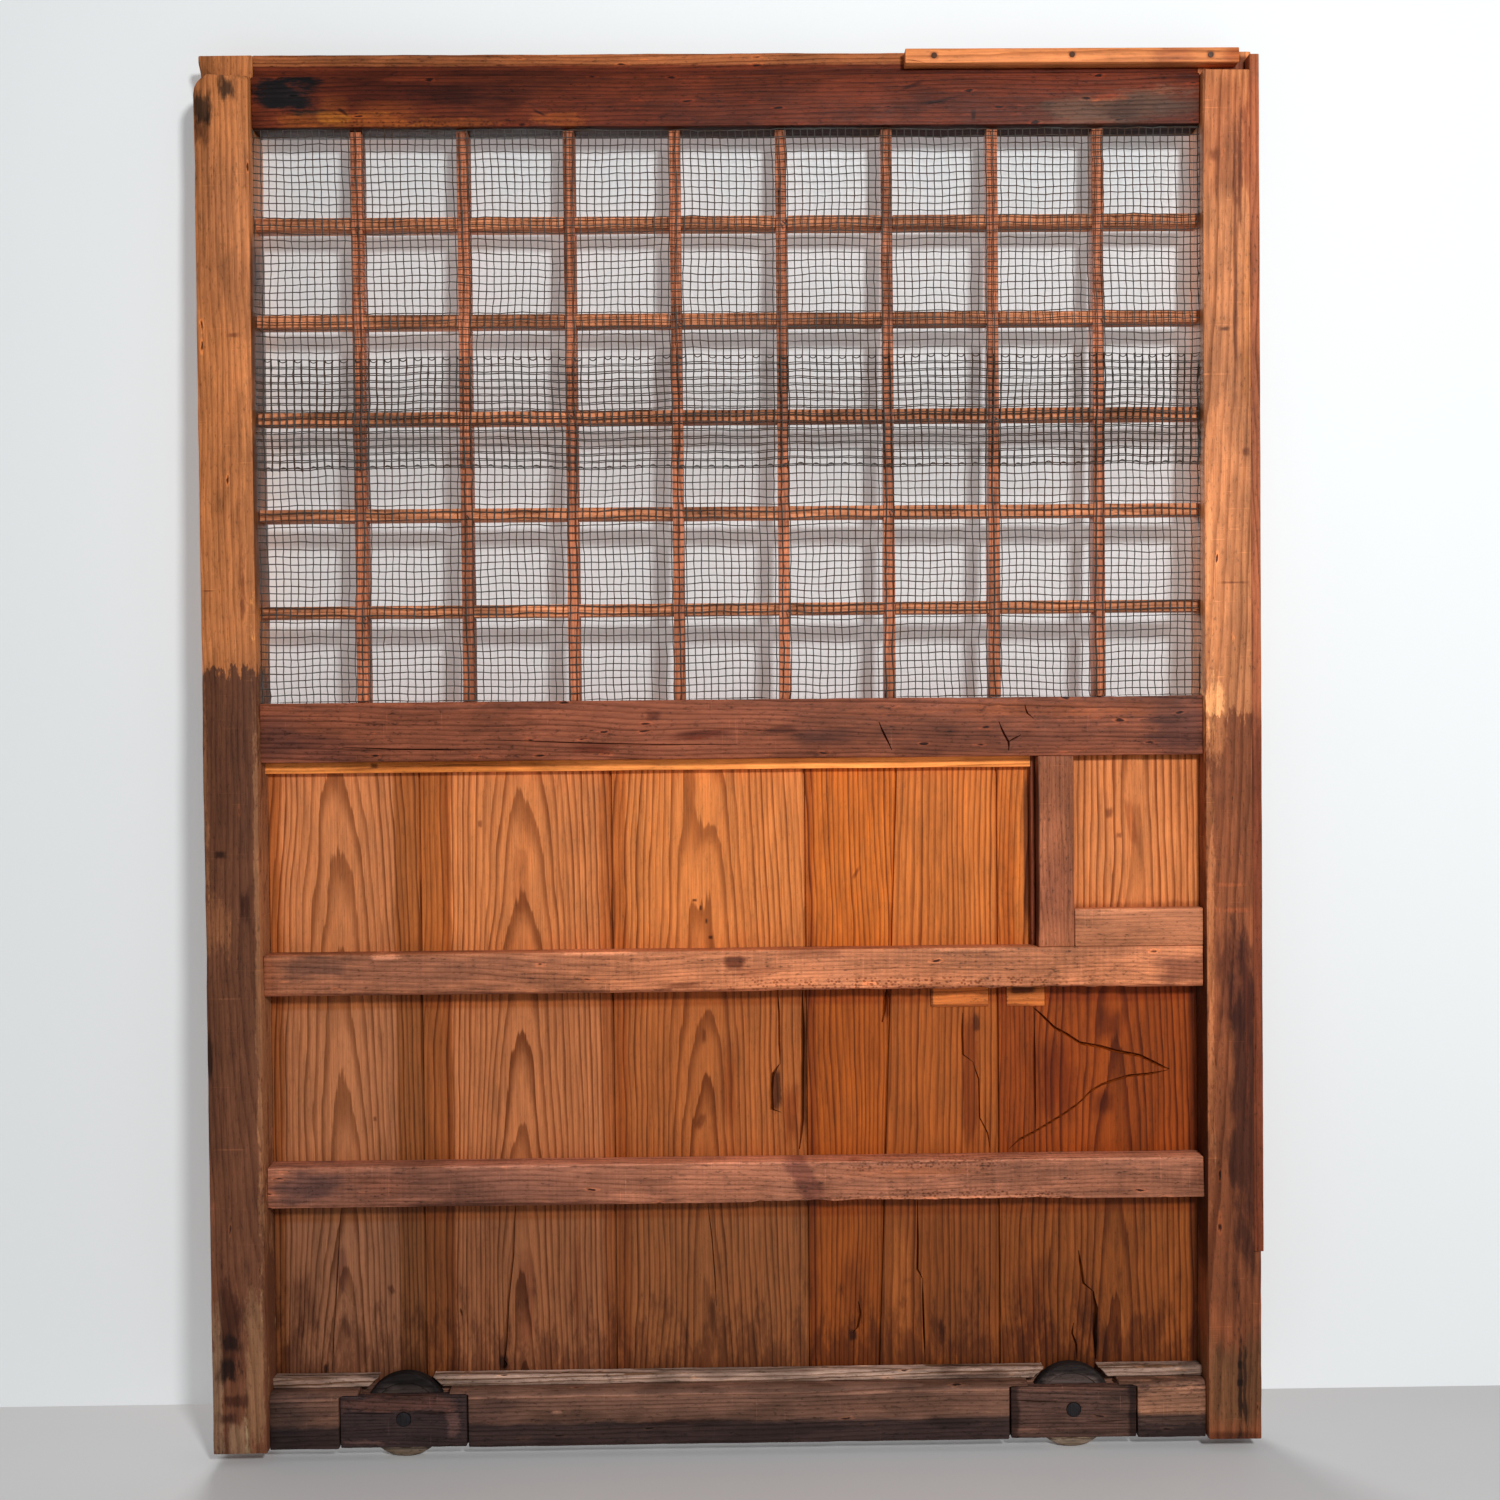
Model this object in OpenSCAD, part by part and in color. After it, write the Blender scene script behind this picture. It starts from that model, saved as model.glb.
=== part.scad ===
/* [Door] */
// Width over both stiles and the lath on the right edge
door_w = 1330; // [1200:1:1500]
// Height from the wheel treads to the top of the head tongue
door_h = 1776; // [1650:1:1950]
// Width of a stile seen from the front
stile_w = 68; // [55:1:90]
// Thickness of a stile, the thickest piece of the door
stile_t = 60; // [58:1:80]
// Height of the stile feet above the track
foot_clear = 16; // [8:1:24]

/* [Head tongue] */
// Height of the tongue above the stile shoulders
tongue_h = 31; // [24:1:40]
// Thickness of the tongue that runs in the head track
tongue_t = 20; // [12:1:22]
// Setback of the tongue behind the stile fronts
tongue_set = 20; // [18:1:26]
// Radius worn on the top corner of each stile cheek
cheek_r = 16; // [4:1:26]

/* [Rails] */
// Setback of the rails behind the stile fronts
rail_set = 10; // [6:1:12]
// Thickness of the top and middle rails
rail_t = 41; // [41:1:46]
// Height of the top rail below its tongue
top_rail_h = 64; // [50:1:90]
// Height of the middle rail
middle_rail_h = 75; // [55:1:95]
// Height of the middle rail's lower edge above the track
middle_rail_z = 887; // [820:1:980]
// Height of the bottom rail
bottom_rail_h = 72; // [60:1:85]
// Thickness of the bottom rail
bottom_rail_t = 45; // [44:1:48]
// Height of the slope worn along the bottom rail's front edge
rail_wear_h = 8; // [2:1:14]
// Depth of the slope worn along the bottom rail's front edge
rail_wear_t = 10; // [2:1:12]

/* [Tenons] */
// Thickness of the through tenons of the rails
tenon_t = 15; // [10:1:18]
// Setback of the through tenons behind the stile fronts
tenon_set = 20; // [19:1:23]
// Step from a rail's edge to its tenon
tenon_step = 10; // [8:1:18]
// Length of the wedges driven in above and below each through tenon
wedge_l = 40; // [20:1:50]
// Height of a wedge at its driven end
wedge_h = 5; // [3:0.5:7]
// Length of the stub tenons of the battens
stub_l = 15; // [8:1:25]
// Thickness of the stub tenons of the battens
stub_t = 12; // [8:1:16]
// Clearance between a tenon and its mortise
tenon_gap = 0.2; // [0.1:0.05:0.4]

/* [Battens] */
// Height of each batten
batten_h = 52; // [40:1:70]
// Setback of the battens behind the stile fronts
batten_set = 12; // [8:1:20]
// Height of the upper batten's lower edge above the track
upper_batten_z = 592; // [540:1:640]
// Height of the lower batten's lower edge above the track
lower_batten_z = 323; // [260:1:380]

/* [Boards] */
// Setback of the boards behind the stile fronts
board_set = 41; // [40:1:44]
// Thickness of the boards
board_t = 10; // [8:1:12]
// Width of the half lap between two boards
board_lap = 8; // [4:1:12]
// Gap left at each board joint
board_gap = 0.8; // [0.4:0.1:0.9]
// Depth of the grooves that hold the boards
groove_d = 8; // [5:1:11]
// Clearance of the boards in their grooves
groove_gap = 0.2; // [0.1:0.05:0.4]
// Width of the first board that shows, counted from the left
board_1_w = 193; // [150:1:220]
// Width of the second board
board_2_w = 245; // [200:1:270]
// Width of the third board
board_3_w = 248; // [210:1:270]
// Width of the fourth board at its top
board_4_w = 119; // [100:1:140]
// Width of the fifth board at the fourth board's top
board_5_w = 128; // [115:1:150]
// Narrowing of the fourth board from its top to its foot
board_taper = 29; // [0:1:40]

/* [Lattice] */
// Width of the upright bars
upright_w = 14; // [10:1:20]
// Height of the crossbars
crossbar_h = 15; // [10:1:20]
// Depth of the lattice bars
lattice_t = 26; // [20:1:27]
// Setback of the lattice behind the stile fronts
lattice_set = 23; // [20:1:24]
// Length of the tenons at the bar ends
bar_tenon_l = 10; // [6:1:14]
// Step from a bar's face to its tenon
bar_tenon_step = 3; // [2:0.5:4]
// Clearance in the half laps
lap_gap = 0.15; // [0.1:0.05:0.3]

/* [Wire mesh] */
// Diameter of the mesh wire
wire_d = 1.2; // [0.8:0.1:1.6]
// Width of the strips of the coarse net
net_strip_w = 3.6; // [2.4:0.2:6]
// Depth of the edge that is folded forward along the frame
mesh_fold = 9; // [4:1:12]
// Gap between the mesh and what it lies against
mesh_gap = 0.2; // [0.1:0.05:0.4]
// Height over which the two sheets overlap in the middle of the lattice
mesh_overlap = 127; // [40:1:240]

/* [Wheels] */
// Diameter of the wheels
wheel_d = 106; // [96:1:114]
// Width of the wheels
wheel_w = 15; // [12:1:16]
// Distance of each wheel's centre from the stile beside it
wheel_in = 169.5; // [120:0.5:260]
// Chamfer on the edges of the tread
tread_chamfer = 2; // [1:0.5:4]
// Width of the rim round the sunk face
rim_w = 11; // [7:1:16]
// Diameter of the hub
hub_d = 40; // [30:1:50]
// Depth of the sunk face
web_sink = 2; // [1:0.5:4]
// Diameter of the axles
axle_d = 18; // [12:1:22]
// Radial running clearance of a wheel on its axle
axle_run = 0.05; // [0.02:0.01:0.1]
// Radial clearance of an axle in the block and the rail
axle_hold = 0.02; // [0.01:0.01:0.05]
// Length of an axle inside the bottom rail's back wall
axle_seat = 12; // [6:1:15]
// Clearance beside a wheel
wheel_side = 1; // [0.5:0.1:1.5]
// Room round the tread in its slot
wheel_room = 5; // [3:1:9]
// Width of the blocks that cover the wheels
block_w = 160; // [140:1:190]
// Height of the blocks
block_h = 66; // [56:1:68]
// Thickness of the blocks
block_t = 11; // [8:1:12]
// Gap beside each block in its housing
block_gap = 2; // [0.5:0.5:4]
// Height of the blocks' lower edges above the feet
block_lift = 1; // [0:0.5:4]

/* [Sill strips] */
// Height of the strips on the bottom rail
sill_strip_h = 13; // [8:1:20]
// Thickness of the strips on the bottom rail
sill_strip_t = 16; // [8:1:20]
// Gap between the strips and the treads
sill_arc_gap = 6; // [4:1:12]

/* [Lock box] */
// Width of the box from the right stile to the far side of its post
lock_box_w = 210; // [170:1:240]
// Width of the post
lock_post_w = 46; // [34:1:60]
// Height of the rail under the lock panel
lock_rail_h = 48; // [36:1:64]
// Setback of the lock panel behind the stile fronts
lock_panel_set = 28; // [25:1:29]
// Thickness of the lock panel
lock_panel_t = 10; // [7:1:11]
// Depth of the grooves that hold the lock panel
lock_groove_d = 6; // [4:1:10]
// Width of the thin lath beside the post
lock_lath_w = 5; // [3:1:8]
// Depth of the thin lath in front of the boards
lock_lath_t = 12; // [6:1:20]
// Gap between the thin lath and the post
lock_lath_gap = 0.9; // [0.3:0.1:0.9]

/* [Repairs] */
// Height of the new bead under the middle rail
bead_h = 14; // [8:1:20]
// Thickness of the new bead
bead_t = 12; // [8:1:18]
// Length of the strip nailed to the head tongue
head_strip_l = 419; // [300:1:500]
// Distance of that strip's right end from the right edge of the door
head_strip_end = 24; // [14:1:40]
// Height of that strip
head_strip_h = 18; // [10:1:20]
// Thickness of that strip
head_strip_t = 18; // [8:1:18]
// Height of that strip above the stile shoulders
head_strip_lift = 10; // [4:1:12]
// Width of the lath on the right stile
edge_lath_w = 12; // [8:1:16]
// Thickness of the lath on the right stile
edge_lath_t = 18; // [12:1:18]
// Distance that the lath stands out from the right stile
edge_lath_out = 3; // [1:0.5:6]
// Height of the lath's lower end above the track
edge_lath_z = 256; // [150:1:400]
// Height of the lath above the stile shoulder
edge_lath_top = 19; // [4:1:22]
// Length of the left patch let into the boards
patch_left_l = 74; // [50:1:80]
// Length of the right patch let into the boards
patch_right_l = 49; // [30:1:60]
// Distance of each patch from the board joint between them
patch_inset = 12; // [10:1:20]
// Height of the patches that shows under the upper batten
patch_h = 28; // [15:1:40]
// Depth of the patches in the boards
patch_t = 4; // [2:0.5:4.5]

/* [Hidden] */
$fn = 96;
upright_n = 8;
crossbar_n = 5;
net_columns = 18;
net_rows = 6;
eps = 1;

door_left = -door_w / 2;
door_right = door_w / 2;
right_out = door_right - edge_lath_out;
in_left = door_left + stile_w;
in_right = right_out - stile_w;
in_w = in_right - in_left;

shoulder_z = door_h - tongue_h;
top_rail_z = shoulder_z - top_rail_h;
middle_rail_top = middle_rail_z + middle_rail_h;
bottom_rail_top = foot_clear + bottom_rail_h;
upper_batten_top = upper_batten_z + batten_h;

rail_back = rail_set + rail_t;
bottom_rail_back = rail_set + bottom_rail_t;
board_back = board_set + board_t;
board_half = board_set + board_t / 2;
board_foot = bottom_rail_top - groove_d + groove_gap;
board_top = middle_rail_z + groove_d - groove_gap;

lattice_back = lattice_set + lattice_t;
lattice_half = lattice_set + lattice_t / 2;
lattice_h = top_rail_z - middle_rail_top;
cell_w = (in_w - upright_n * upright_w) / (upright_n + 1);
cell_h = (lattice_h - crossbar_n * crossbar_h) / (crossbar_n + 1);

sheet_t = 2 * wire_d;
lattice_mid = (middle_rail_top + top_rail_z) / 2;
upper_mesh_z = lattice_mid - mesh_overlap / 2;
lower_mesh_top = lattice_mid + mesh_overlap / 2;
lower_sheet_set = lattice_set - mesh_gap - sheet_t;
upper_sheet_set = lower_sheet_set - mesh_gap - sheet_t;

wheel_r = wheel_d / 2;
axle_z = wheel_r;
block_back = rail_set + block_t;
wheel_front = block_back + wheel_side;
wheel_back = wheel_front + wheel_w;
slot_back = wheel_back + wheel_side;
slot_half = wheel_r + wheel_room;

lock_left = in_right - lock_box_w;
lock_panel_left = lock_left + lock_post_w;
lock_rail_top = upper_batten_top + lock_rail_h;
lock_panel_back = lock_panel_set + lock_panel_t;
lath_left = lock_left - lock_lath_gap - lock_lath_w;

door_brown = [0.45, 0.24, 0.14];
rail_brown = [0.38, 0.19, 0.12];
bar_brown = [0.58, 0.30, 0.18];
cedar = [0.72, 0.42, 0.20];
new_pine = [0.85, 0.55, 0.30];
weathered = [0.50, 0.42, 0.34];
dark_oak = [0.20, 0.13, 0.10];
rusty_iron = [0.25, 0.21, 0.19];

// Y of a depth measured from the front of the stiles
function depth(d) = d - stile_t / 2;

// Left side of upright i, counted from 0
function upright_x(i) = in_left + cell_w + i * (cell_w + upright_w);

// Lower side of crossbar i, counted from 0 at the middle rail
function crossbar_z(i) = middle_rail_top + cell_h + i * (cell_h + crossbar_h);

// Share of the way from the fourth joint's top to its foot at height z
function taper_share(z) = (board_top - z) / (board_top - board_foot);

// Face joint i between boards at height z, where joint 0 and joint 6 are the stiles
function joint_x(i, z) =
    i == 0 ? in_left :
    i == 1 ? in_left + board_1_w :
    i == 2 ? joint_x(1, z) + board_2_w :
    i == 3 ? joint_x(2, z) + board_3_w :
    i == 4 ? joint_x(3, z) + board_4_w - board_taper * taper_share(z) :
    i == 5 ? joint_x(3, z) + board_4_w + board_5_w :
    in_right;

// Middle of wheel bay i, 0 at the left and 1 at the right
function bay_x(i) = i == 0 ? in_left + wheel_in : in_right - wheel_in;

// A straight piece between two corners, with its depths from the stile fronts
module piece(x0, x1, d0, d1, z0, z1) {
    translate([x0, depth(d0), z0])
        cube([x1 - x0, d1 - d0, z1 - z0]);
}

// A round bar along the depth of the door
module round_bar(x, z, d0, d1, r) {
    translate([x, depth(d1), z])
        rotate([90, 0, 0])
            cylinder(h = d1 - d0, r = r);
}

// A piece of even section along X, from a profile of depth and height
module moulding(x0, x1, profile) {
    translate([x0, -stile_t / 2, 0])
        rotate([90, 0, 90])
            linear_extrude(height = x1 - x0)
                polygon(profile);
}

// The through tenon of a rail, or its mortise when grow is the clearance
module rail_tenon(x0, x1, z0, h, grow = 0) {
    piece(x0, x1, tenon_set - grow, tenon_set + tenon_t + grow,
          z0 + tenon_step - grow, z0 + h - tenon_step + grow);
}

// A wedge on a tenon's edge at z, up or down, in the stile whose outer side is at x
module wedge(x, dir, z, up, grow = 0) {
    out = x - dir * (grow > 0 ? eps : 0);
    tip = x + dir * wedge_l;
    translate([0, depth(tenon_set + tenon_t + grow), 0])
        rotate([90, 0, 0])
            linear_extrude(height = tenon_t + 2 * grow)
                polygon([
                    [out, z],
                    [out, z + up * (wedge_h + grow)],
                    [tip, z + up * grow],
                    [tip, z]
                ]);
}

// Both wedges of a rail's tenon in the stile whose outer side is at x
module wedge_pair(x, dir, z0, h, grow = 0) {
    wedge(x, dir, z0 + h - tenon_step, 1, grow);
    wedge(x, dir, z0 + tenon_step, -1, grow);
}

// The wedges of all three rails in one stile
module stile_wedges(x, dir, grow = 0) {
    wedge_pair(x, dir, top_rail_z, top_rail_h, grow);
    wedge_pair(x, dir, middle_rail_z, middle_rail_h, grow);
    wedge_pair(x, dir, foot_clear, bottom_rail_h, grow);
}

// The stub tenon of a batten, or its mortise when grow is the clearance
module stub_tenon(x0, x1, z0, grow = 0) {
    front = batten_set + (board_set - batten_set - stub_t) / 2;
    piece(x0, x1, front - grow, front + stub_t + grow,
          z0 + tenon_step - grow, z0 + batten_h - tenon_step + grow);
}

// The end tenon of a crossbar, or its mortise when grow is the clearance
module crossbar_tenon(i, x0, x1, grow = 0) {
    z = crossbar_z(i);
    piece(x0, x1, lattice_set + bar_tenon_step - grow, lattice_back - bar_tenon_step + grow,
          z + bar_tenon_step - grow, z + crossbar_h - bar_tenon_step + grow);
}

// The end tenon of an upright, or its mortise when grow is the clearance
module upright_tenon(i, z0, z1, grow = 0) {
    x = upright_x(i);
    piece(x + bar_tenon_step - grow, x + upright_w - bar_tenon_step + grow,
          lattice_set + bar_tenon_step - grow, lattice_back - bar_tenon_step + grow, z0, z1);
}

// What is cut from a stile whose inner side is at x, with dir pointing into the stile
module stile_cuts(x, dir, reach) {
    far = x + dir * (reach + eps);
    stub = x + dir * (stub_l + tenon_gap);
    slot = x + dir * (bar_tenon_l + tenon_gap);
    groove = x + dir * groove_d;
    out = x - dir * eps;
    rail_tenon(min(out, far), max(out, far), top_rail_z, top_rail_h, tenon_gap);
    rail_tenon(min(out, far), max(out, far), middle_rail_z, middle_rail_h, tenon_gap);
    rail_tenon(min(out, far), max(out, far), foot_clear, bottom_rail_h, tenon_gap);
    stub_tenon(min(out, stub), max(out, stub), upper_batten_z, tenon_gap);
    stub_tenon(min(out, stub), max(out, stub), lower_batten_z, tenon_gap);
    for (i = [0 : crossbar_n - 1])
        crossbar_tenon(i, min(out, slot), max(out, slot), tenon_gap);
    piece(min(out, groove), max(out, groove), board_set - groove_gap, board_back + groove_gap,
          board_foot - groove_gap, board_top + groove_gap);
}

// A stile with its tongue, from x0 to x1
module stile_body(x0, x1) {
    moulding(x0, x1, [
        [0, foot_clear],
        [stile_t, foot_clear],
        [stile_t, shoulder_z],
        [tongue_set + tongue_t, shoulder_z],
        [tongue_set + tongue_t, door_h],
        [tongue_set, door_h],
        [tongue_set, shoulder_z],
        [0, shoulder_z]
    ]);
}

// The worn corner of a stile cheek at x, with dir pointing into the stile
module worn_cheek(x, dir) {
    centre = x + dir * cheek_r;
    difference() {
        piece(min(x - dir * eps, centre), max(x - dir * eps, centre), -eps, tongue_set,
              shoulder_z - cheek_r, shoulder_z + eps);
        round_bar(centre, shoulder_z - cheek_r, -2 * eps, tongue_set + eps, cheek_r);
    }
}

// The housing of a covering block and the slot of its wheel in the bottom rail
module wheel_bay(i) {
    x = bay_x(i);
    half = block_w / 2 + block_gap;
    piece(x - half, x + half, rail_set - eps, block_back, foot_clear - eps, bottom_rail_top + eps);
    piece(x - slot_half, x + slot_half, rail_set - eps, slot_back,
          foot_clear - eps, bottom_rail_top + eps);
    round_bar(x, axle_z, slot_back - eps, slot_back + axle_seat, axle_d / 2 + axle_hold);
}

// An upright bar with its end tenons and the half laps cut from its back
module upright(i) {
    x = upright_x(i);
    color(bar_brown)
        difference() {
            union() {
                piece(x, x + upright_w, lattice_set, lattice_back, middle_rail_top, top_rail_z);
                upright_tenon(i, middle_rail_top - bar_tenon_l, top_rail_z + bar_tenon_l);
            }
            for (k = [0 : crossbar_n - 1])
                piece(x - eps, x + upright_w + eps, lattice_half, lattice_back + eps,
                      crossbar_z(k) - lap_gap, crossbar_z(k) + crossbar_h + lap_gap);
        }
}

// A crossbar with its end tenons and the half laps cut from its front
module crossbar(i) {
    z = crossbar_z(i);
    color(bar_brown)
        difference() {
            union() {
                piece(in_left, in_right, lattice_set, lattice_back, z, z + crossbar_h);
                crossbar_tenon(i, in_left - bar_tenon_l, in_right + bar_tenon_l);
            }
            for (k = [0 : upright_n - 1])
                piece(upright_x(k) - lap_gap, upright_x(k) + upright_w + lap_gap,
                      lattice_set - eps, lattice_half, z - eps, z + crossbar_h + eps);
        }
}

// One layer of board i between two depths, moved to the right by shift at its inner joints
module board_layer(i, d0, d1, shift) {
    first = i == 0;
    last = i == 5;
    left_add = first ? groove_gap - groove_d : shift + board_gap / 2;
    right_add = last ? groove_d - groove_gap : shift - board_gap / 2;
    translate([0, depth(d1), 0])
        rotate([90, 0, 0])
            linear_extrude(height = d1 - d0)
                polygon([
                    [joint_x(i, board_foot) + left_add, board_foot],
                    [joint_x(i + 1, board_foot) + right_add, board_foot],
                    [joint_x(i + 1, board_top) + right_add, board_top],
                    [joint_x(i, board_top) + left_add, board_top]
                ]);
}

// A board of the lower field, half lapped to its neighbours
module panel_board(i) {
    color(cedar)
        difference() {
            union() {
                board_layer(i, board_set, board_half, 0);
                board_layer(i, board_half, board_back, board_lap);
            }
            patch_left(groove_gap);
            patch_right(groove_gap);
        }
}

// The left patch let into the boards, or its pocket when grow is the clearance
module patch_left(grow = 0) {
    x1 = joint_x(5, upper_batten_z) - patch_inset;
    piece(x1 - patch_left_l - grow, x1 + grow, board_set - (grow > 0 ? eps : 0), board_set + patch_t,
          upper_batten_z - patch_h - grow, upper_batten_z + grow);
}

// The right patch let into the boards, or its pocket when grow is the clearance
module patch_right(grow = 0) {
    x0 = joint_x(5, upper_batten_z) + patch_inset;
    piece(x0 - grow, x0 + patch_right_l + grow, board_set - (grow > 0 ? eps : 0), board_set + patch_t,
          upper_batten_z - patch_h - grow, upper_batten_z + grow);
}

// A batten across the boards, with its stub tenons
module batten(z) {
    color(door_brown) {
        piece(in_left, in_right, batten_set, board_set, z, z + batten_h);
        stub_tenon(in_left - stub_l, in_right + stub_l, z);
    }
}

// A sheet of wire net between two heights, with its sides folded forward up to side_top
module net_sheet(d, z0, z1, side_top, fold_top, fold_foot) {
    x0 = in_left + mesh_gap;
    x1 = in_right - mesh_gap;
    front = d - mesh_fold;
    column = (x1 - x0 - net_strip_w) / net_columns;
    row = (z1 - z0 - net_strip_w) / net_rows;
    ridge_in = (net_strip_w - wire_d) / 2;
    color(rusty_iron)
        union() {
            difference() {
                piece(x0, x1, d + wire_d / 2, d + 1.5 * wire_d, z0, z1);
                for (i = [0 : net_columns - 1])
                    for (k = [0 : net_rows - 1])
                        piece(x0 + i * column + net_strip_w, x0 + (i + 1) * column,
                              d, d + sheet_t, z0 + k * row + net_strip_w, z0 + (k + 1) * row);
            }
            for (i = [0 : net_columns])
                piece(x0 + i * column + ridge_in, x0 + i * column + ridge_in + wire_d,
                      d, d + wire_d, z0, z1);
            for (k = [0 : net_rows])
                piece(x0, x1, d + wire_d, d + sheet_t,
                      z0 + k * row + ridge_in, z0 + k * row + ridge_in + wire_d);
            piece(x0, x0 + wire_d, front, d + wire_d, z0, side_top);
            piece(x1 - wire_d, x1, front, d + wire_d, z0, side_top);
            if (fold_top)
                piece(x0, x1, front, d + wire_d, z1 - wire_d, z1);
            if (fold_foot)
                piece(x0, x1, front, d + wire_d, z0, z0 + wire_d);
        }
}

// A stretch of the strip that lies on the bottom rail, cut clear of the wheels
module sill_strip(x0, x1) {
    color(weathered)
        difference() {
            piece(x0, x1, board_set - sill_strip_t, board_set,
                  bottom_rail_top, bottom_rail_top + sill_strip_h);
            for (i = [0, 1])
                round_bar(bay_x(i), axle_z, board_set - sill_strip_t - eps, board_set + eps,
                          wheel_r + sill_arc_gap);
        }
}

// A turned wheel with a sunk face on both sides, running on its axle
module wheel(i) {
    bore_r = axle_d / 2 + axle_run;
    half = wheel_w / 2;
    rim_r = wheel_r - rim_w;
    color(weathered)
        translate([bay_x(i), depth(wheel_front + half), axle_z])
            rotate([90, 0, 0])
                rotate_extrude()
                    polygon([
                        [bore_r, -half],
                        [hub_d / 2, -half],
                        [hub_d / 2 + web_sink, web_sink - half],
                        [rim_r - web_sink, web_sink - half],
                        [rim_r, -half],
                        [wheel_r - tread_chamfer, -half],
                        [wheel_r, tread_chamfer - half],
                        [wheel_r, half - tread_chamfer],
                        [wheel_r - tread_chamfer, half],
                        [rim_r, half],
                        [rim_r - web_sink, half - web_sink],
                        [hub_d / 2 + web_sink, half - web_sink],
                        [hub_d / 2, half],
                        [bore_r, half]
                    ]);
}

// The fixed axle of a wheel, flush with the face of its block
module axle(i) {
    color(dark_oak)
        round_bar(bay_x(i), axle_z, rail_set, slot_back + axle_seat, axle_d / 2);
}

// The block that covers a wheel and carries the front end of its axle
module wheel_block(i) {
    x = bay_x(i);
    z = foot_clear + block_lift;
    color(dark_oak)
        difference() {
            piece(x - block_w / 2, x + block_w / 2, rail_set, block_back, z, z + block_h);
            round_bar(x, axle_z, rail_set - eps, block_back + eps, axle_d / 2 + axle_hold);
        }
}

module left_stile() {
    color(door_brown)
        difference() {
            stile_body(door_left, in_left);
            stile_cuts(in_left, -1, stile_w);
            stile_wedges(door_left, 1, tenon_gap);
            worn_cheek(door_left, 1);
        }
}

module right_stile() {
    color(door_brown)
        difference() {
            stile_body(in_right, right_out);
            stile_cuts(in_right, 1, stile_w);
            stile_wedges(right_out, -1, tenon_gap);
            worn_cheek(in_right, 1);
            piece(door_right - edge_lath_w, door_right + eps, -eps, edge_lath_t,
                  edge_lath_z, door_h + eps);
        }
}

module edge_lath() {
    color(door_brown)
        piece(door_right - edge_lath_w, door_right, 0, edge_lath_t,
              edge_lath_z, shoulder_z + edge_lath_top);
}

module top_rail() {
    color(rail_brown)
        difference() {
            union() {
                moulding(in_left, in_right, [
                    [rail_set, top_rail_z],
                    [rail_back, top_rail_z],
                    [rail_back, shoulder_z],
                    [tongue_set + tongue_t, shoulder_z],
                    [tongue_set + tongue_t, door_h],
                    [tongue_set, door_h],
                    [tongue_set, shoulder_z],
                    [rail_set, shoulder_z]
                ]);
                rail_tenon(door_left, right_out, top_rail_z, top_rail_h);
            }
            for (i = [0 : upright_n - 1])
                upright_tenon(i, top_rail_z - eps, top_rail_z + bar_tenon_l + tenon_gap, tenon_gap);
        }
}

module middle_rail() {
    color(rail_brown)
        difference() {
            union() {
                piece(in_left, in_right, rail_set, rail_back, middle_rail_z, middle_rail_top);
                rail_tenon(door_left, right_out, middle_rail_z, middle_rail_h);
            }
            for (i = [0 : upright_n - 1])
                upright_tenon(i, middle_rail_top - bar_tenon_l - tenon_gap, middle_rail_top + eps,
                              tenon_gap);
            piece(in_left - eps, in_right + eps, board_set, rail_back + eps,
                  middle_rail_z - eps, board_top + groove_gap);
        }
}

module bottom_rail() {
    color(rail_brown)
        difference() {
            union() {
                moulding(in_left, in_right, [
                    [rail_set, foot_clear],
                    [bottom_rail_back, foot_clear],
                    [bottom_rail_back, bottom_rail_top],
                    [rail_set + rail_wear_t, bottom_rail_top],
                    [rail_set, bottom_rail_top - rail_wear_h]
                ]);
                rail_tenon(door_left, right_out, foot_clear, bottom_rail_h);
            }
            piece(in_left - eps, in_right + eps, board_set - groove_gap, board_back + groove_gap,
                  board_foot - groove_gap, bottom_rail_top + eps);
            wheel_bay(0);
            wheel_bay(1);
        }
}

module tenon_wedges() {
    color(dark_oak) {
        stile_wedges(door_left, 1);
        stile_wedges(right_out, -1);
    }
}

module upper_batten() {
    batten(upper_batten_z);
}

module lower_batten() {
    batten(lower_batten_z);
}

module lattice_upright_1() { upright(0); }
module lattice_upright_2() { upright(1); }
module lattice_upright_3() { upright(2); }
module lattice_upright_4() { upright(3); }
module lattice_upright_5() { upright(4); }
module lattice_upright_6() { upright(5); }
module lattice_upright_7() { upright(6); }
module lattice_upright_8() { upright(7); }

module lattice_crossbar_1() { crossbar(0); }
module lattice_crossbar_2() { crossbar(1); }
module lattice_crossbar_3() { crossbar(2); }
module lattice_crossbar_4() { crossbar(3); }
module lattice_crossbar_5() { crossbar(4); }

module upper_wire_mesh() {
    z1 = top_rail_z - mesh_gap;
    net_sheet(upper_sheet_set, upper_mesh_z, z1, z1, true, false);
}

module lower_wire_mesh() {
    z0 = middle_rail_top + mesh_gap;
    net_sheet(lower_sheet_set, z0, lower_mesh_top, upper_mesh_z - mesh_gap, false, true);
}

module panel_board_1() { panel_board(0); }
module panel_board_2() { panel_board(1); }
module panel_board_3() { panel_board(2); }
module panel_board_4() { panel_board(3); }
module panel_board_5() { panel_board(4); }
module panel_board_6() { panel_board(5); }

module patch_strip_left() {
    color(new_pine)
        patch_left();
}

module patch_strip_right() {
    color(new_pine)
        patch_right();
}

module top_bead() {
    color(new_pine)
        piece(in_left, lath_left, board_set - bead_t, board_set, middle_rail_z - bead_h, middle_rail_z);
}

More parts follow.
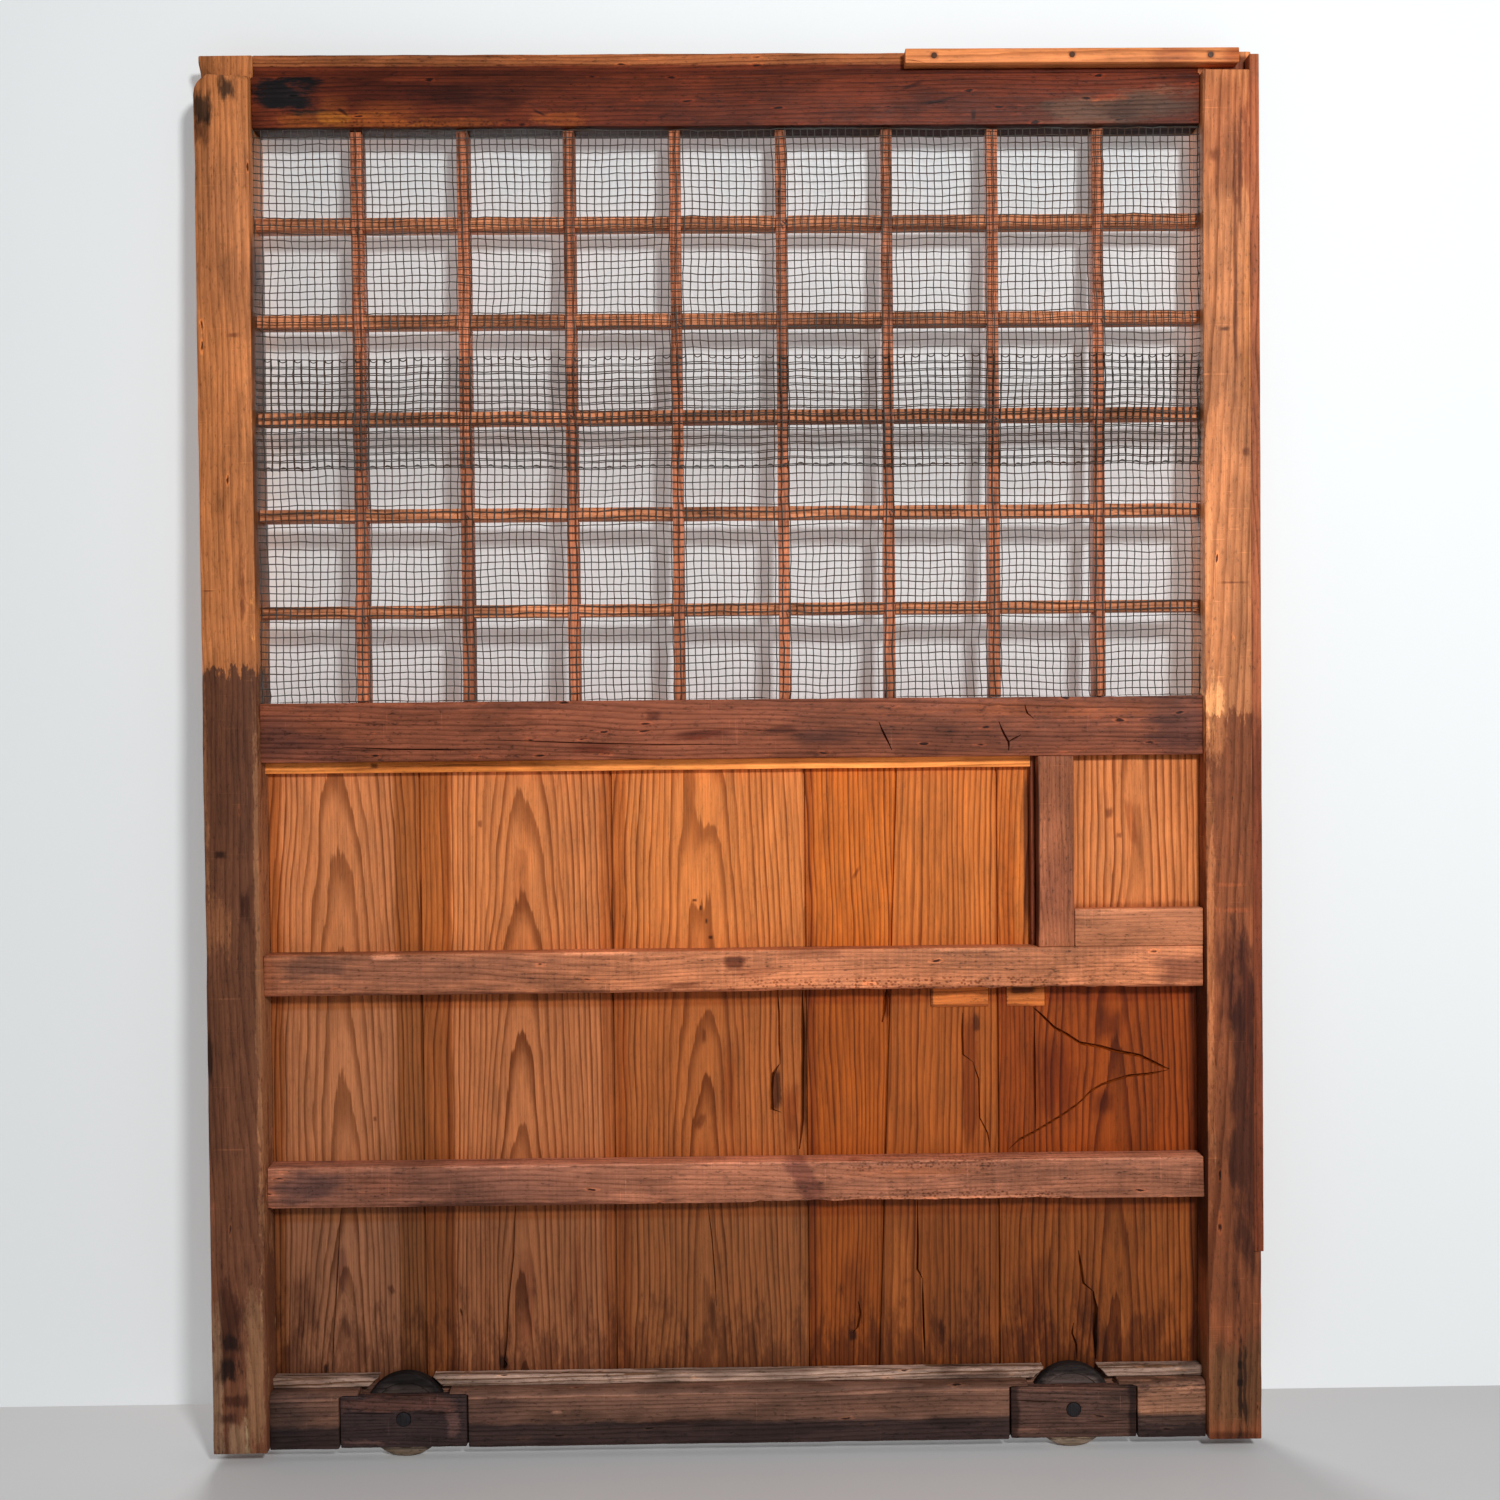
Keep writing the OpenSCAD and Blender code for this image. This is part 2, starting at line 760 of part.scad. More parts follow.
module lock_post() {
    color(door_brown)
        difference() {
            piece(lock_left, lock_panel_left, batten_set, board_set, upper_batten_top, middle_rail_z);
            piece(lock_panel_left - lock_groove_d, lock_panel_left + eps,
                  lock_panel_set - groove_gap, lock_panel_back + groove_gap,
                  lock_rail_top - lock_groove_d, middle_rail_z + eps);
        }
}

module lock_rail() {
    color(door_brown)
        difference() {
            piece(lock_panel_left, in_right, batten_set, board_set, upper_batten_top, lock_rail_top);
            piece(lock_panel_left - eps, in_right + eps,
                  lock_panel_set - groove_gap, lock_panel_back + groove_gap,
                  lock_rail_top - lock_groove_d, lock_rail_top + eps);
        }
}

module lock_panel() {
    color(cedar)
        piece(lock_panel_left - lock_groove_d + groove_gap, in_right, lock_panel_set, lock_panel_back,
              lock_rail_top - lock_groove_d + groove_gap, middle_rail_z);
}

module lock_lath() {
    color(door_brown)
        piece(lath_left, lath_left + lock_lath_w, board_set - lock_lath_t, board_set,
              upper_batten_top, middle_rail_z);
}

module sill_strip_left() {
    sill_strip(in_left, bay_x(0));
}

module sill_strip_middle() {
    sill_strip(bay_x(0), bay_x(1));
}

module sill_strip_right() {
    sill_strip(bay_x(1), in_right);
}

module left_wheel() { wheel(0); }
module right_wheel() { wheel(1); }
module left_axle() { axle(0); }
module right_axle() { axle(1); }
module left_wheel_block() { wheel_block(0); }
module right_wheel_block() { wheel_block(1); }

module head_strip() {
    x1 = door_right - head_strip_end;
    z = shoulder_z + head_strip_lift;
    color(new_pine)
        piece(x1 - head_strip_l, x1, tongue_set - head_strip_t, tongue_set, z, z + head_strip_h);
}

left_stile();
right_stile();
edge_lath();
top_rail();
middle_rail();
bottom_rail();
tenon_wedges();
upper_batten();
lower_batten();
lattice_upright_1();
lattice_upright_2();
lattice_upright_3();
lattice_upright_4();
lattice_upright_5();
lattice_upright_6();
lattice_upright_7();
lattice_upright_8();
lattice_crossbar_1();
lattice_crossbar_2();
lattice_crossbar_3();
lattice_crossbar_4();
lattice_crossbar_5();
upper_wire_mesh();
lower_wire_mesh();
panel_board_1();
panel_board_2();
panel_board_3();
panel_board_4();
panel_board_5();
panel_board_6();
patch_strip_left();
patch_strip_right();
top_bead();
lock_post();
lock_rail();
lock_panel();
lock_lath();
sill_strip_left();
sill_strip_middle();
sill_strip_right();
left_wheel();
right_wheel();
left_axle();
right_axle();
left_wheel_block();
right_wheel_block();
head_strip();
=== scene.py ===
"""Old sliding storehouse door: worn timber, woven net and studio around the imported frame."""

from __future__ import annotations

import logging
import math
from collections.abc import Callable, Iterator, Sequence
from contextlib import contextmanager
from dataclasses import dataclass, field
from enum import Enum
from typing import Any

import bmesh
import bpy
from mathutils import Euler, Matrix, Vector

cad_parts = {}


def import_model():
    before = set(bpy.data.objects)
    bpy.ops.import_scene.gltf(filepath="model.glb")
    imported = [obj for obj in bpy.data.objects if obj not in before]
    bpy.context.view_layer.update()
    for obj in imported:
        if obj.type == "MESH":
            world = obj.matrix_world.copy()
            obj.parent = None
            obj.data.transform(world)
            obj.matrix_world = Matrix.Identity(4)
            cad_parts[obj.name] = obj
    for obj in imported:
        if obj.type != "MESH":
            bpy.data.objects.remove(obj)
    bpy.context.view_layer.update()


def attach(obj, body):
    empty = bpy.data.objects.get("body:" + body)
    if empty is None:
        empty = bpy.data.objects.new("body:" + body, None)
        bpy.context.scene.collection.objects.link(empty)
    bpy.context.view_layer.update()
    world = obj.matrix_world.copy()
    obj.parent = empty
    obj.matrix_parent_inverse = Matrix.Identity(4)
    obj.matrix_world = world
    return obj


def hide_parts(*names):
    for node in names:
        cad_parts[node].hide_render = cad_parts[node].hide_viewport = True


LOG = logging.getLogger("storehouse_door")
MM = 0.001
HALF_DEPTH = 30.0  # mm from the stile fronts to the middle of the door
NEAR = 1e-4  # m, how close a corner lies to a plane that it is on
ARRIS_REACH = 4.0  # mm of both faces that count as an arris
DOUBLES = 2e-6  # m, corners this close become one
SHARP = math.radians(50)  # edges sharper than this are eased
SMOOTH = math.radians(38)  # edges flatter than this are shaded smooth
TIP_SHARE = 8  # a crack's width over the size of its tips
SWELL = 3.2  # how much a crack opens after its first stretch
BITE = 1.2  # a crack's depth over the size of its cutter
WHEELS_AT = (-427.5, 424.5)  # mm across
AXLE_Z = 53.0  # mm up

Colour = tuple[float, float, float]
Object = bpy.types.Object


class Axis(Enum):
    """A direction of the door: across, through or up."""

    X = 0
    Y = 1
    Z = 2


class Pick(Enum):
    """What an edit-mode selection holds."""

    VERT = "VERT"
    EDGE = "EDGE"
    FACE = "FACE"


class Grain(Enum):
    """Which way the fibres of a timber run."""

    ACROSS = "across the door"
    UPRIGHT = "up the door"


def screen(red: float, green: float, blue: float) -> Colour:
    """Give the linear colour of a tone named as a screen shows it, each part from 0 to 255."""

    def line(value: float) -> float:
        """Undo the screen curve of one value."""
        part = value / 255
        return part / 12.92 if part <= 0.04045 else ((part + 0.055) / 1.055) ** 2.4

    return line(red), line(green), line(blue)


def point(x: float, depth: float, z: float) -> Vector:
    """Turn millimetres (across, behind the stile fronts, up) into metres."""
    return Vector((x, depth - HALF_DEPTH, z)) * MM


@dataclass(frozen=True)
class Stock:
    """A sawn length in mm: across, depth behind the stile fronts, and up."""

    x0: float
    x1: float
    d0: float
    d1: float
    z0: float
    z1: float

    @property
    def low(self) -> Vector:
        """Lowest corner in metres."""
        return point(self.x0, self.d0, self.z0)

    @property
    def high(self) -> Vector:
        """Highest corner in metres."""
        return point(self.x1, self.d1, self.z1)

    def grown(self, x: float, d: float, z: float) -> Stock:
        """Give the same length with mm added on both sides of each direction."""
        return Stock(
            self.x0 - x, self.x1 + x, self.d0 - d, self.d1 + d, self.z0 - z, self.z1 + z
        )

    def front_arris(
        self, upper: bool, x0: float = -math.inf, x1: float = math.inf
    ) -> Callable[[Vector], bool]:
        """Give a test for the upper or lower front arris, between two places in mm."""
        low = self.z1 - ARRIS_REACH if upper else -math.inf
        high = (self.z1 if upper else self.z0) + ARRIS_REACH
        behind = point(0, self.d0 + ARRIS_REACH, 0).y
        return lambda co: (
            low * MM < co.z < high * MM and co.y < behind and x0 * MM < co.x < x1 * MM
        )


# ---------------------------------------------------------------- modelling


class Bench:
    """Modelling moves, made on one piece at a time."""

    @staticmethod
    def take(obj: Object) -> None:
        """Make one object the only selected and the active one."""
        bpy.ops.object.select_all(action="DESELECT")
        obj.select_set(True)
        bpy.context.view_layer.objects.active = obj

    @staticmethod
    @contextmanager
    def edit(obj: Object) -> Iterator[None]:
        """Hold a piece in edit mode, at first with all of it selected."""
        Bench.take(obj)
        bpy.ops.object.mode_set(mode="EDIT")
        bpy.ops.mesh.select_all(action="SELECT")
        yield
        bpy.ops.object.mode_set(mode="OBJECT")

    @staticmethod
    def mark(obj: Object, pick: Pick, test: Callable[[Any], bool]) -> int:
        """Select, in edit mode, only what passes a test.

        Args:
            obj: The piece in edit mode.
            pick: Corners, edges or faces.
            test: Takes one mesh element.

        Returns:
            How many were selected.
        """
        bpy.ops.mesh.select_mode(type=pick.value)
        bpy.ops.mesh.select_all(action="DESELECT")
        mesh = bmesh.from_edit_mesh(obj.data)
        items = {Pick.VERT: mesh.verts, Pick.EDGE: mesh.edges, Pick.FACE: mesh.faces}[pick]
        chosen = [item for item in items if test(item)]
        for item in chosen:
            item.select_set(True)
        mesh.select_flush_mode()
        bmesh.update_edit_mesh(obj.data, loop_triangles=False, destructive=False)
        return len(chosen)

    @staticmethod
    def fresh(name: str) -> Object:
        """Name the primitive just added, with its place, turn and size in its mesh."""
        obj = bpy.context.active_object
        obj.name = obj.data.name = name
        bpy.ops.object.transform_apply(location=True, rotation=True, scale=True)
        return obj

    @staticmethod
    def saw(name: str, stock: Stock) -> Object:
        """Cut a plain length of a given size at its place."""
        bpy.ops.object.select_all(action="DESELECT")
        bpy.ops.mesh.primitive_cube_add(size=1.0, location=(stock.low + stock.high) / 2)
        bpy.context.active_object.scale = stock.high - stock.low
        return Bench.fresh(name)

    @staticmethod
    def rod(name: str, radius: float, start: Vector, end: Vector, sides: int = 48) -> Object:
        """Turn a round length between two centres, all in metres."""
        run = end - start
        bpy.ops.object.select_all(action="DESELECT")
        bpy.ops.mesh.primitive_cylinder_add(
            vertices=sides,
            radius=radius,
            depth=run.length,
            location=(start + end) / 2,
            rotation=run.to_track_quat("Z", "Y").to_euler(),
        )
        return Bench.fresh(name)

    @staticmethod
    def divide(obj: Object, axis: Axis, cuts: int) -> None:
        """Split the long edges of a plain length evenly."""
        with Bench.edit(obj):
            Bench.mark(
                obj,
                Pick.EDGE,
                lambda e: abs((e.verts[0].co - e.verts[1].co).normalized()[axis.value]) > 0.99,
            )
            bpy.ops.mesh.subdivide(number_cuts=cuts)

    @staticmethod
    def slice(obj: Object, axis: Axis, *places: float) -> None:
        """Cut flat across a piece at places in metres, leaving it whole."""
        normal = [0.0, 0.0, 0.0]
        normal[axis.value] = 1.0
        for place in places:
            with Bench.edit(obj):
                bpy.ops.mesh.bisect(plane_co=[n * place for n in normal], plane_no=normal)

    @staticmethod
    def draw_out(obj: Object, test: Callable[[Any], bool], move: Vector) -> None:
        """Extrude the faces that pass a test."""
        with Bench.edit(obj):
            Bench.mark(obj, Pick.FACE, test)
            bpy.ops.mesh.extrude_region_move(TRANSFORM_OT_translate={"value": move})

    @staticmethod
    def shift(obj: Object, test: Callable[[Any], bool], move: Vector) -> None:
        """Move the corners that pass a test."""
        with Bench.edit(obj):
            Bench.mark(obj, Pick.VERT, test)
            bpy.ops.transform.translate(value=move)

    @staticmethod
    def round_off(obj: Object, test: Callable[[Any], bool], width: float, steps: int) -> None:
        """Round the edges that pass a test, width in metres."""
        with Bench.edit(obj):
            Bench.mark(obj, Pick.EDGE, test)
            bpy.ops.mesh.bevel(offset=width, segments=steps, affect="EDGES")

    @staticmethod
    def ease(obj: Object, width: float, steps: int = 2) -> None:
        """Take off every sharp arris, width in metres."""
        with Bench.edit(obj):
            bpy.ops.mesh.select_mode(type="EDGE")
            bpy.ops.mesh.select_all(action="DESELECT")
            bpy.ops.mesh.edges_select_sharp(sharpness=SHARP)
            bpy.ops.mesh.bevel(offset=width, segments=steps, affect="EDGES")

    @staticmethod
    def apply(obj: Object, kind: str, **settings: Any) -> None:
        """Add one modifier and apply it."""
        modifier = obj.modifiers.new(kind.lower(), kind)
        for key, value in settings.items():
            setattr(modifier, key, value)
        Bench.take(obj)
        bpy.ops.object.modifier_apply(modifier=modifier.name)

    @staticmethod
    def weather(obj: Object, amount: float, size: float, **settings: Any) -> None:
        """Make a surface uneven, by a full swing and a size of lumps in metres."""
        lumps = bpy.data.textures.new(f"{obj.name}_wear", "CLOUDS")
        lumps.noise_scale = size
        lumps.noise_depth = 2
        Bench.apply(obj, "DISPLACE", texture=lumps, strength=amount, **settings)
        bpy.data.textures.remove(lumps)

    @staticmethod
    def gnaw(obj: Object, test: Callable[[Vector], bool], amount: float, size: float) -> None:
        """Eat away the corners that pass a test, to a depth in metres."""
        group = obj.vertex_groups.new(name="gnawed")
        group.add([v.index for v in obj.data.vertices if test(v.co)], 1.0, "REPLACE")
        Bench.weather(obj, -amount, size, mid_level=0.25, vertex_group=group.name)
        obj.vertex_groups.clear()

    @staticmethod
    def combine(obj: Object, other: Object, operation: str) -> None:
        """Apply one solid to another and remove it."""
        Bench.apply(obj, "BOOLEAN", operation=operation, solver="EXACT", object=other)
        mesh = other.data
        bpy.data.objects.remove(other)
        bpy.data.meshes.remove(mesh)

    @staticmethod
    def carve(obj: Object, *cutters: Object) -> None:
        """Cut solids out of a piece."""
        for cutter in cutters:
            Bench.combine(obj, cutter, "DIFFERENCE")

    @staticmethod
    def fuse(obj: Object, *others: Object) -> None:
        """Make solids one with a piece."""
        for other in others:
            Bench.combine(obj, other, "UNION")

    @staticmethod
    def join(obj: Object, others: Sequence[Object]) -> None:
        """Put loose meshes into one object."""
        Bench.take(obj)
        for other in others:
            other.select_set(True)
        bpy.ops.object.join()

    @staticmethod
    def copy(obj: Object, name: str, move: Vector) -> Object:
        """Copy a piece with its own mesh, and move the copy by metres."""
        Bench.take(obj)
        bpy.ops.object.duplicate(linked=False)
        bpy.context.active_object.location = move
        return Bench.fresh(name)

    @staticmethod
    def face_out(obj: Object) -> None:
        """Merge doubles and turn all faces outwards."""
        with Bench.edit(obj):
            bpy.ops.mesh.remove_doubles(threshold=DOUBLES)
            bpy.ops.mesh.normals_make_consistent(inside=False)

    @staticmethod
    def groove(path: Sequence[Vector], width: float, depth: float, run: Axis) -> Object:
        """Make a wedge-shaped cutter along a path on a front face.

        Args:
            path: Points on the face, in metres.
            width: Widest opening in metres.
            depth: Depth in metres.
            run: Main direction of the path, across or up.

        Returns:
            The cutter.
        """
        bpy.ops.object.select_all(action="DESELECT")
        flat = (0.0, math.pi / 2, 0.0) if run is Axis.X else (0.0, 0.0, 0.0)
        bpy.ops.mesh.primitive_circle_add(
            vertices=3, fill_type="NGON", radius=1.0, location=path[0], rotation=flat
        )
        tip = width / TIP_SHARE
        bpy.context.active_object.scale = (tip, depth / BITE, tip)
        obj = Bench.fresh("groove")
        last = len(path) - 2
        with Bench.edit(obj):
            for number, (here, there) in enumerate(zip(path, path[1:], strict=False)):
                bpy.ops.mesh.extrude_region_move(TRANSFORM_OT_translate={"value": there - here})
                swell = 1 / SWELL if number == last else 1.0 if number else SWELL
                bpy.ops.transform.resize(value=(swell, 1.0, swell), center_override=there)
        Bench.face_out(obj)
        return obj


@dataclass
class Assembly:
    """Pieces that are built and dressed together."""

    pieces: list[Object] = field(default_factory=list, init=False)

    def keep(
        self, obj: Object, finish: Finish, slot: str, *nodes: str, body: str = "door"
    ) -> Object:
        """Dress a finished piece and tie it to the frame.

        Args:
            obj: The piece.
            finish: What it is made of.
            slot: Material slot of the record; not used.
            *nodes: Frame nodes that it stands for.
            body: Body that it moves with.

        Returns:
            The same piece.
        """
        obj.data.materials.clear()
        obj.data.materials.append(finish.material())
        Bench.take(obj)
        bpy.ops.object.shade_smooth_by_angle(angle=SMOOTH)
        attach(obj, body)
        if nodes:
            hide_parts(*nodes)
        self.pieces.append(obj)
        LOG.info("%s: %d faces", obj.name, len(obj.data.polygons))
        return obj


# ---------------------------------------------------------------- shading


class Value:
    """A shader socket that takes part in Python arithmetic."""

    def __init__(self, graph: Graph, socket: bpy.types.NodeSocket) -> None:
        """Wrap a socket of a graph."""
        self.graph = graph
        self.socket = socket

    def _with(self, operation: str, *terms: Value | float) -> Value:
        """Add one Math node on the terms."""
        node = self.graph.node(
            "ShaderNodeMath", {"operation": operation}, dict(enumerate(terms))
        )
        return Value(self.graph, node.outputs[0])

    def __add__(self, other: Value | float) -> Value:
        """Sum."""
        return self._with("ADD", self, other)

    def __radd__(self, other: float) -> Value:
        """Sum, reflected."""
        return self._with("ADD", other, self)

    def __sub__(self, other: Value | float) -> Value:
        """Difference."""
        return self._with("SUBTRACT", self, other)

    def __rsub__(self, other: float) -> Value:
        """Difference, reflected."""
        return self._with("SUBTRACT", other, self)

    def __mul__(self, other: Value | float) -> Value:
        """Product."""
        return self._with("MULTIPLY", self, other)

    def __truediv__(self, other: Value | float) -> Value:
        """Quotient."""
        return self._with("DIVIDE", self, other)

    def at_least(self, low: float) -> Value:
        """The greater of this and a number."""
        return self._with("MAXIMUM", self, low)

    def root(self) -> Value:
        """Square root."""
        return self._with("SQRT", self)

    def fraction(self) -> Value:
        """Part after the point."""
        return self._with("FRACT", self)

    def floor(self) -> Value:
        """Whole part."""
        return self._with("FLOOR", self)

    def rise(self, low: float, high: float) -> Value:
        """Smooth step from 0 at low to 1 at high."""
        node = self.graph.node(
            "ShaderNodeMapRange",
            {"interpolation_type": "SMOOTHSTEP"},
            {"Value": self, "From Min": low, "From Max": high},
        )
        return Value(self.graph, node.outputs[0])

    def fall(self, low: float, high: float) -> Value:
        """Smooth step from 1 at low to 0 at high."""
        return 1 - self.rise(low, high)


class Graph:
    """The node tree of one material."""

    def __init__(self, name: str) -> None:
        """Start an empty material."""
        self.material = bpy.data.materials.new(name)
        self.material.use_nodes = True
        self.tree = self.material.node_tree
        self.tree.nodes.clear()

    def node(
        self, kind: str, settings: dict[str, Any], inputs: dict[str | int, Any]
    ) -> bpy.types.Node:
        """Add a node.

        Args:
            kind: Node type.
            settings: Properties, set first.
            inputs: Values or links by socket name or number.

        Returns:
            The node.
        """
        node = self.tree.nodes.new(kind)
        for key, value in settings.items():
            setattr(node, key, value)
        for key, value in inputs.items():
            if isinstance(value, Value):
                self.tree.links.new(value.socket, node.inputs[key])
            else:
                node.inputs[key].default_value = value
        return node

    def place(self) -> tuple[Value, Value, Value]:
        """Give the door coordinates in metres: across, through, up."""
        spot = self.node("ShaderNodeTexCoord", {}, {})
        parts = self.node(
            "ShaderNodeSeparateXYZ", {}, {0: Value(self, spot.outputs["Object"])}
        )
        x, y, z = (Value(self, out) for out in parts.outputs)
        return x, y, z

    def vector(self, *parts: Value | float) -> Value:
        """Join three values into a vector."""
        node = self.node("ShaderNodeCombineXYZ", {}, dict(enumerate(parts)))
        return Value(self, node.outputs[0])

    def noise(self, where: Value, scale: float, detail: float = 2.0, rough: float = 0.5) -> Value:
        """Give smooth noise about 0.5."""
        node = self.node(
            "ShaderNodeTexNoise",
            {},
            {"Vector": where, "Scale": scale, "Detail": detail, "Roughness": rough},
        )
        return Value(self, node.outputs[0])

    def cells(self, where: Value, scale: float) -> tuple[Value, Value]:
        """Give the distance to scattered points, and one random number for each."""
        node = self.node("ShaderNodeTexVoronoi", {}, {"Vector": where, "Scale": scale})
        pick = self.node("ShaderNodeSeparateColor", {}, {0: Value(self, node.outputs["Color"])})
        return Value(self, node.outputs["Distance"]), Value(self, pick.outputs[0])

    def chance(self, number: Value) -> Value:
        """Give one random number for each whole number."""
        node = self.node("ShaderNodeTexWhiteNoise", {"noise_dimensions": "1D"}, {"W": number})
        return Value(self, node.outputs["Value"])

    def mix(
        self, share: Value, one: Value | Colour, two: Value | Colour, blend: str = "MIX"
    ) -> Value:
        """Blend two colours, by the share of the second."""
        colours = {
            key: value if isinstance(value, Value) else (*value, 1.0)
            for key, value in ((6, one), (7, two))
        }
        node = self.node(
            "ShaderNodeMix", {"data_type": "RGBA", "blend_type": blend}, {0: share, **colours}
        )
        return Value(self, node.outputs[2])

    def scaled(self, colour: Value, by: Value) -> Value:
        """Brighten or darken a colour."""
        node = self.node("ShaderNodeVectorMath", {"operation": "SCALE"}, {0: colour, "Scale": by})
        return Value(self, node.outputs[0])

    def surface(
        self, colour: Value, rough: Value, height: Value, relief: float, **more: Value | float
    ) -> bpy.types.Material:
        """Finish the material.

        Args:
            colour: Base colour.
            rough: Roughness.
            height: Height of the fine relief, from 0 to 1.
            relief: Depth of that relief in metres.
            **more: Other sockets by name, with _ for a space.

        Returns:
            The material.
        """
        bump = self.node(
            "ShaderNodeBump", {}, {"Height": height, "Distance": relief, "Strength": 1.0}
        )
        others = {key.replace("_", " "): value for key, value in more.items()}
        shader = self.node(
            "ShaderNodeBsdfPrincipled",
            {},
            {
                "Base Color": colour,
                "Roughness": rough,
                "Normal": Value(self, bump.outputs[0]),
                **others,
            },
        )
        self.node("ShaderNodeOutputMaterial", {}, {0: Value(self, shader.outputs[0])})
        return self.material


@dataclass(frozen=True)
class Finish:
    """What a piece is made of."""

    name: str

    def material(self) -> bpy.types.Material:
        """Give the material, made once."""
        return bpy.data.materials.get(self.name) or self.made()

    def made(self) -> bpy.types.Material:
        """Make the material."""
        raise NotImplementedError


@dataclass(frozen=True)
class StainOrPaintedLight:
    """A soft-edged oval of tint on a timber, in mm of the door: real dirt, wear and discolouring,
    and also painted shade and painted highlights.

    The tint multiplies the wood's own colour, so its grain stays.
    """

    x: float
    z: float
    rx: float
    rz: float
    tint: Colour
    strength: float = 1.0
    soft: float = 0.6
    ragged: float = 1.4
    turn: float = 0.0  # degrees

    def mask(self, x: Value, z: Value, edge: Value) -> Value:
        """Give the share of tint over the door.

        Args:
            x: Place across the door.
            z: Place up the door.
            edge: Noise about 0 that frays the outline.

        Returns:
            The share from 0 to 1.
        """
        right, up = x - self.x * MM, z - self.z * MM
        if self.turn:
            cos, sin = math.cos(math.radians(self.turn)), math.sin(math.radians(self.turn))
            right, up = right * cos + up * sin, up * cos - right * sin
        right, up = right / (self.rx * MM), up / (self.rz * MM)
        square = right * right, up * up
        reach = (square[0] * square[0] + square[1] * square[1]).root().root()
        return (reach + edge * self.ragged).fall(1 - self.soft, 1.0) * self.strength


@dataclass(frozen=True)
class Fibres:
    """Noise drawn out along the grain, by counts per metre across and along it."""

    wide: float
    long: float
    detail: float = 3.0
    rough: float = 0.6

    def noise(self, graph: Graph, across: Value, depth: Value, along: Value) -> Value:
        """Give the noise, about 0.5, over the wood."""
        where = graph.vector(across * self.wide, depth * self.wide, along * self.long)
        return graph.noise(where, 1.0, self.detail, self.rough)


BROAD = Fibres(15, 2.6)
SMEAR = Fibres(70, 17, 3, 0.65)
STRANDS = Fibres(260, 5.5)
FIBRE = Fibres(800, 18, 2, 0.7)
SPECK = Fibres(330, 110, 3, 0.7)
BLOTCH = Fibres(13, 4.2, 3, 0.65)
NICK = Fibres(9, 430, 2, 0.7)  # scratches across the grain
RUBBED = Fibres(34, 34, 2)  # the places that have scratches
SAW_MARK = Fibres(14, 260, 2, 0.5)
SWAY = Fibres(9, 2.4, 2, 0.5)  # bends of the year rings

DRIFT = 1.3  # how much the broad noise counts beside the smears
DARKEST = 0.12
DARK_FLECK, PALE_FLECK, PALE_SHARE = (0.54, 0.70), (0.30, 0.42), 0.5
BLOTCH_EDGE = (0.49, 0.58)
NICK_EDGE, RUBBED_EDGE = (0.62, 0.70), (0.48, 0.62)
STAIN_AND_LIGHT_FRAY, STAIN_AND_LIGHT_FADE = 0.4, 3.0  # share of the specks in the outline of each tint, painted shade and highlights included, mm
GOUGES, GOUGE_STRETCH = 105.0, 0.26  # per metre, and share of that along the grain
GOUGE_BEND, GOUGE_FRAY, GOUGE_RISE = 0.012, 0.34, 0.02
DENT_EDGE, DENT_TINT = (0.10, 0.20), (0.10, 0.08, 0.08)
LIP_EDGE, LIP_TINT, LIP_SHARE = (0.22, 0.34), (1.8, 1.55, 1.3), 0.55
WORM_HOLES, WORM_STRETCH = 270.0, 0.8  # per metre, and share of that along the grain
WORM_EDGE, WORM_DEPTH = (0.28, 0.52), (0.05, 0.5)
FIBRE_SHEEN, LATE_SHEEN, WOOD_GLOSS = 0.25, 0.08, 0.18
SWAY_ASIDE, SWAY_DEEP = 0.026, 0.018  # m
RING_DRIFT, RING_FRAY = 2.2, 0.35  # rings
LATE_STARTS, LATE_ENDS = (0.40, 0.88), (0.93, 1.0)
FAINTEST_RING = 0.4
EARLY_TONE = 1.25


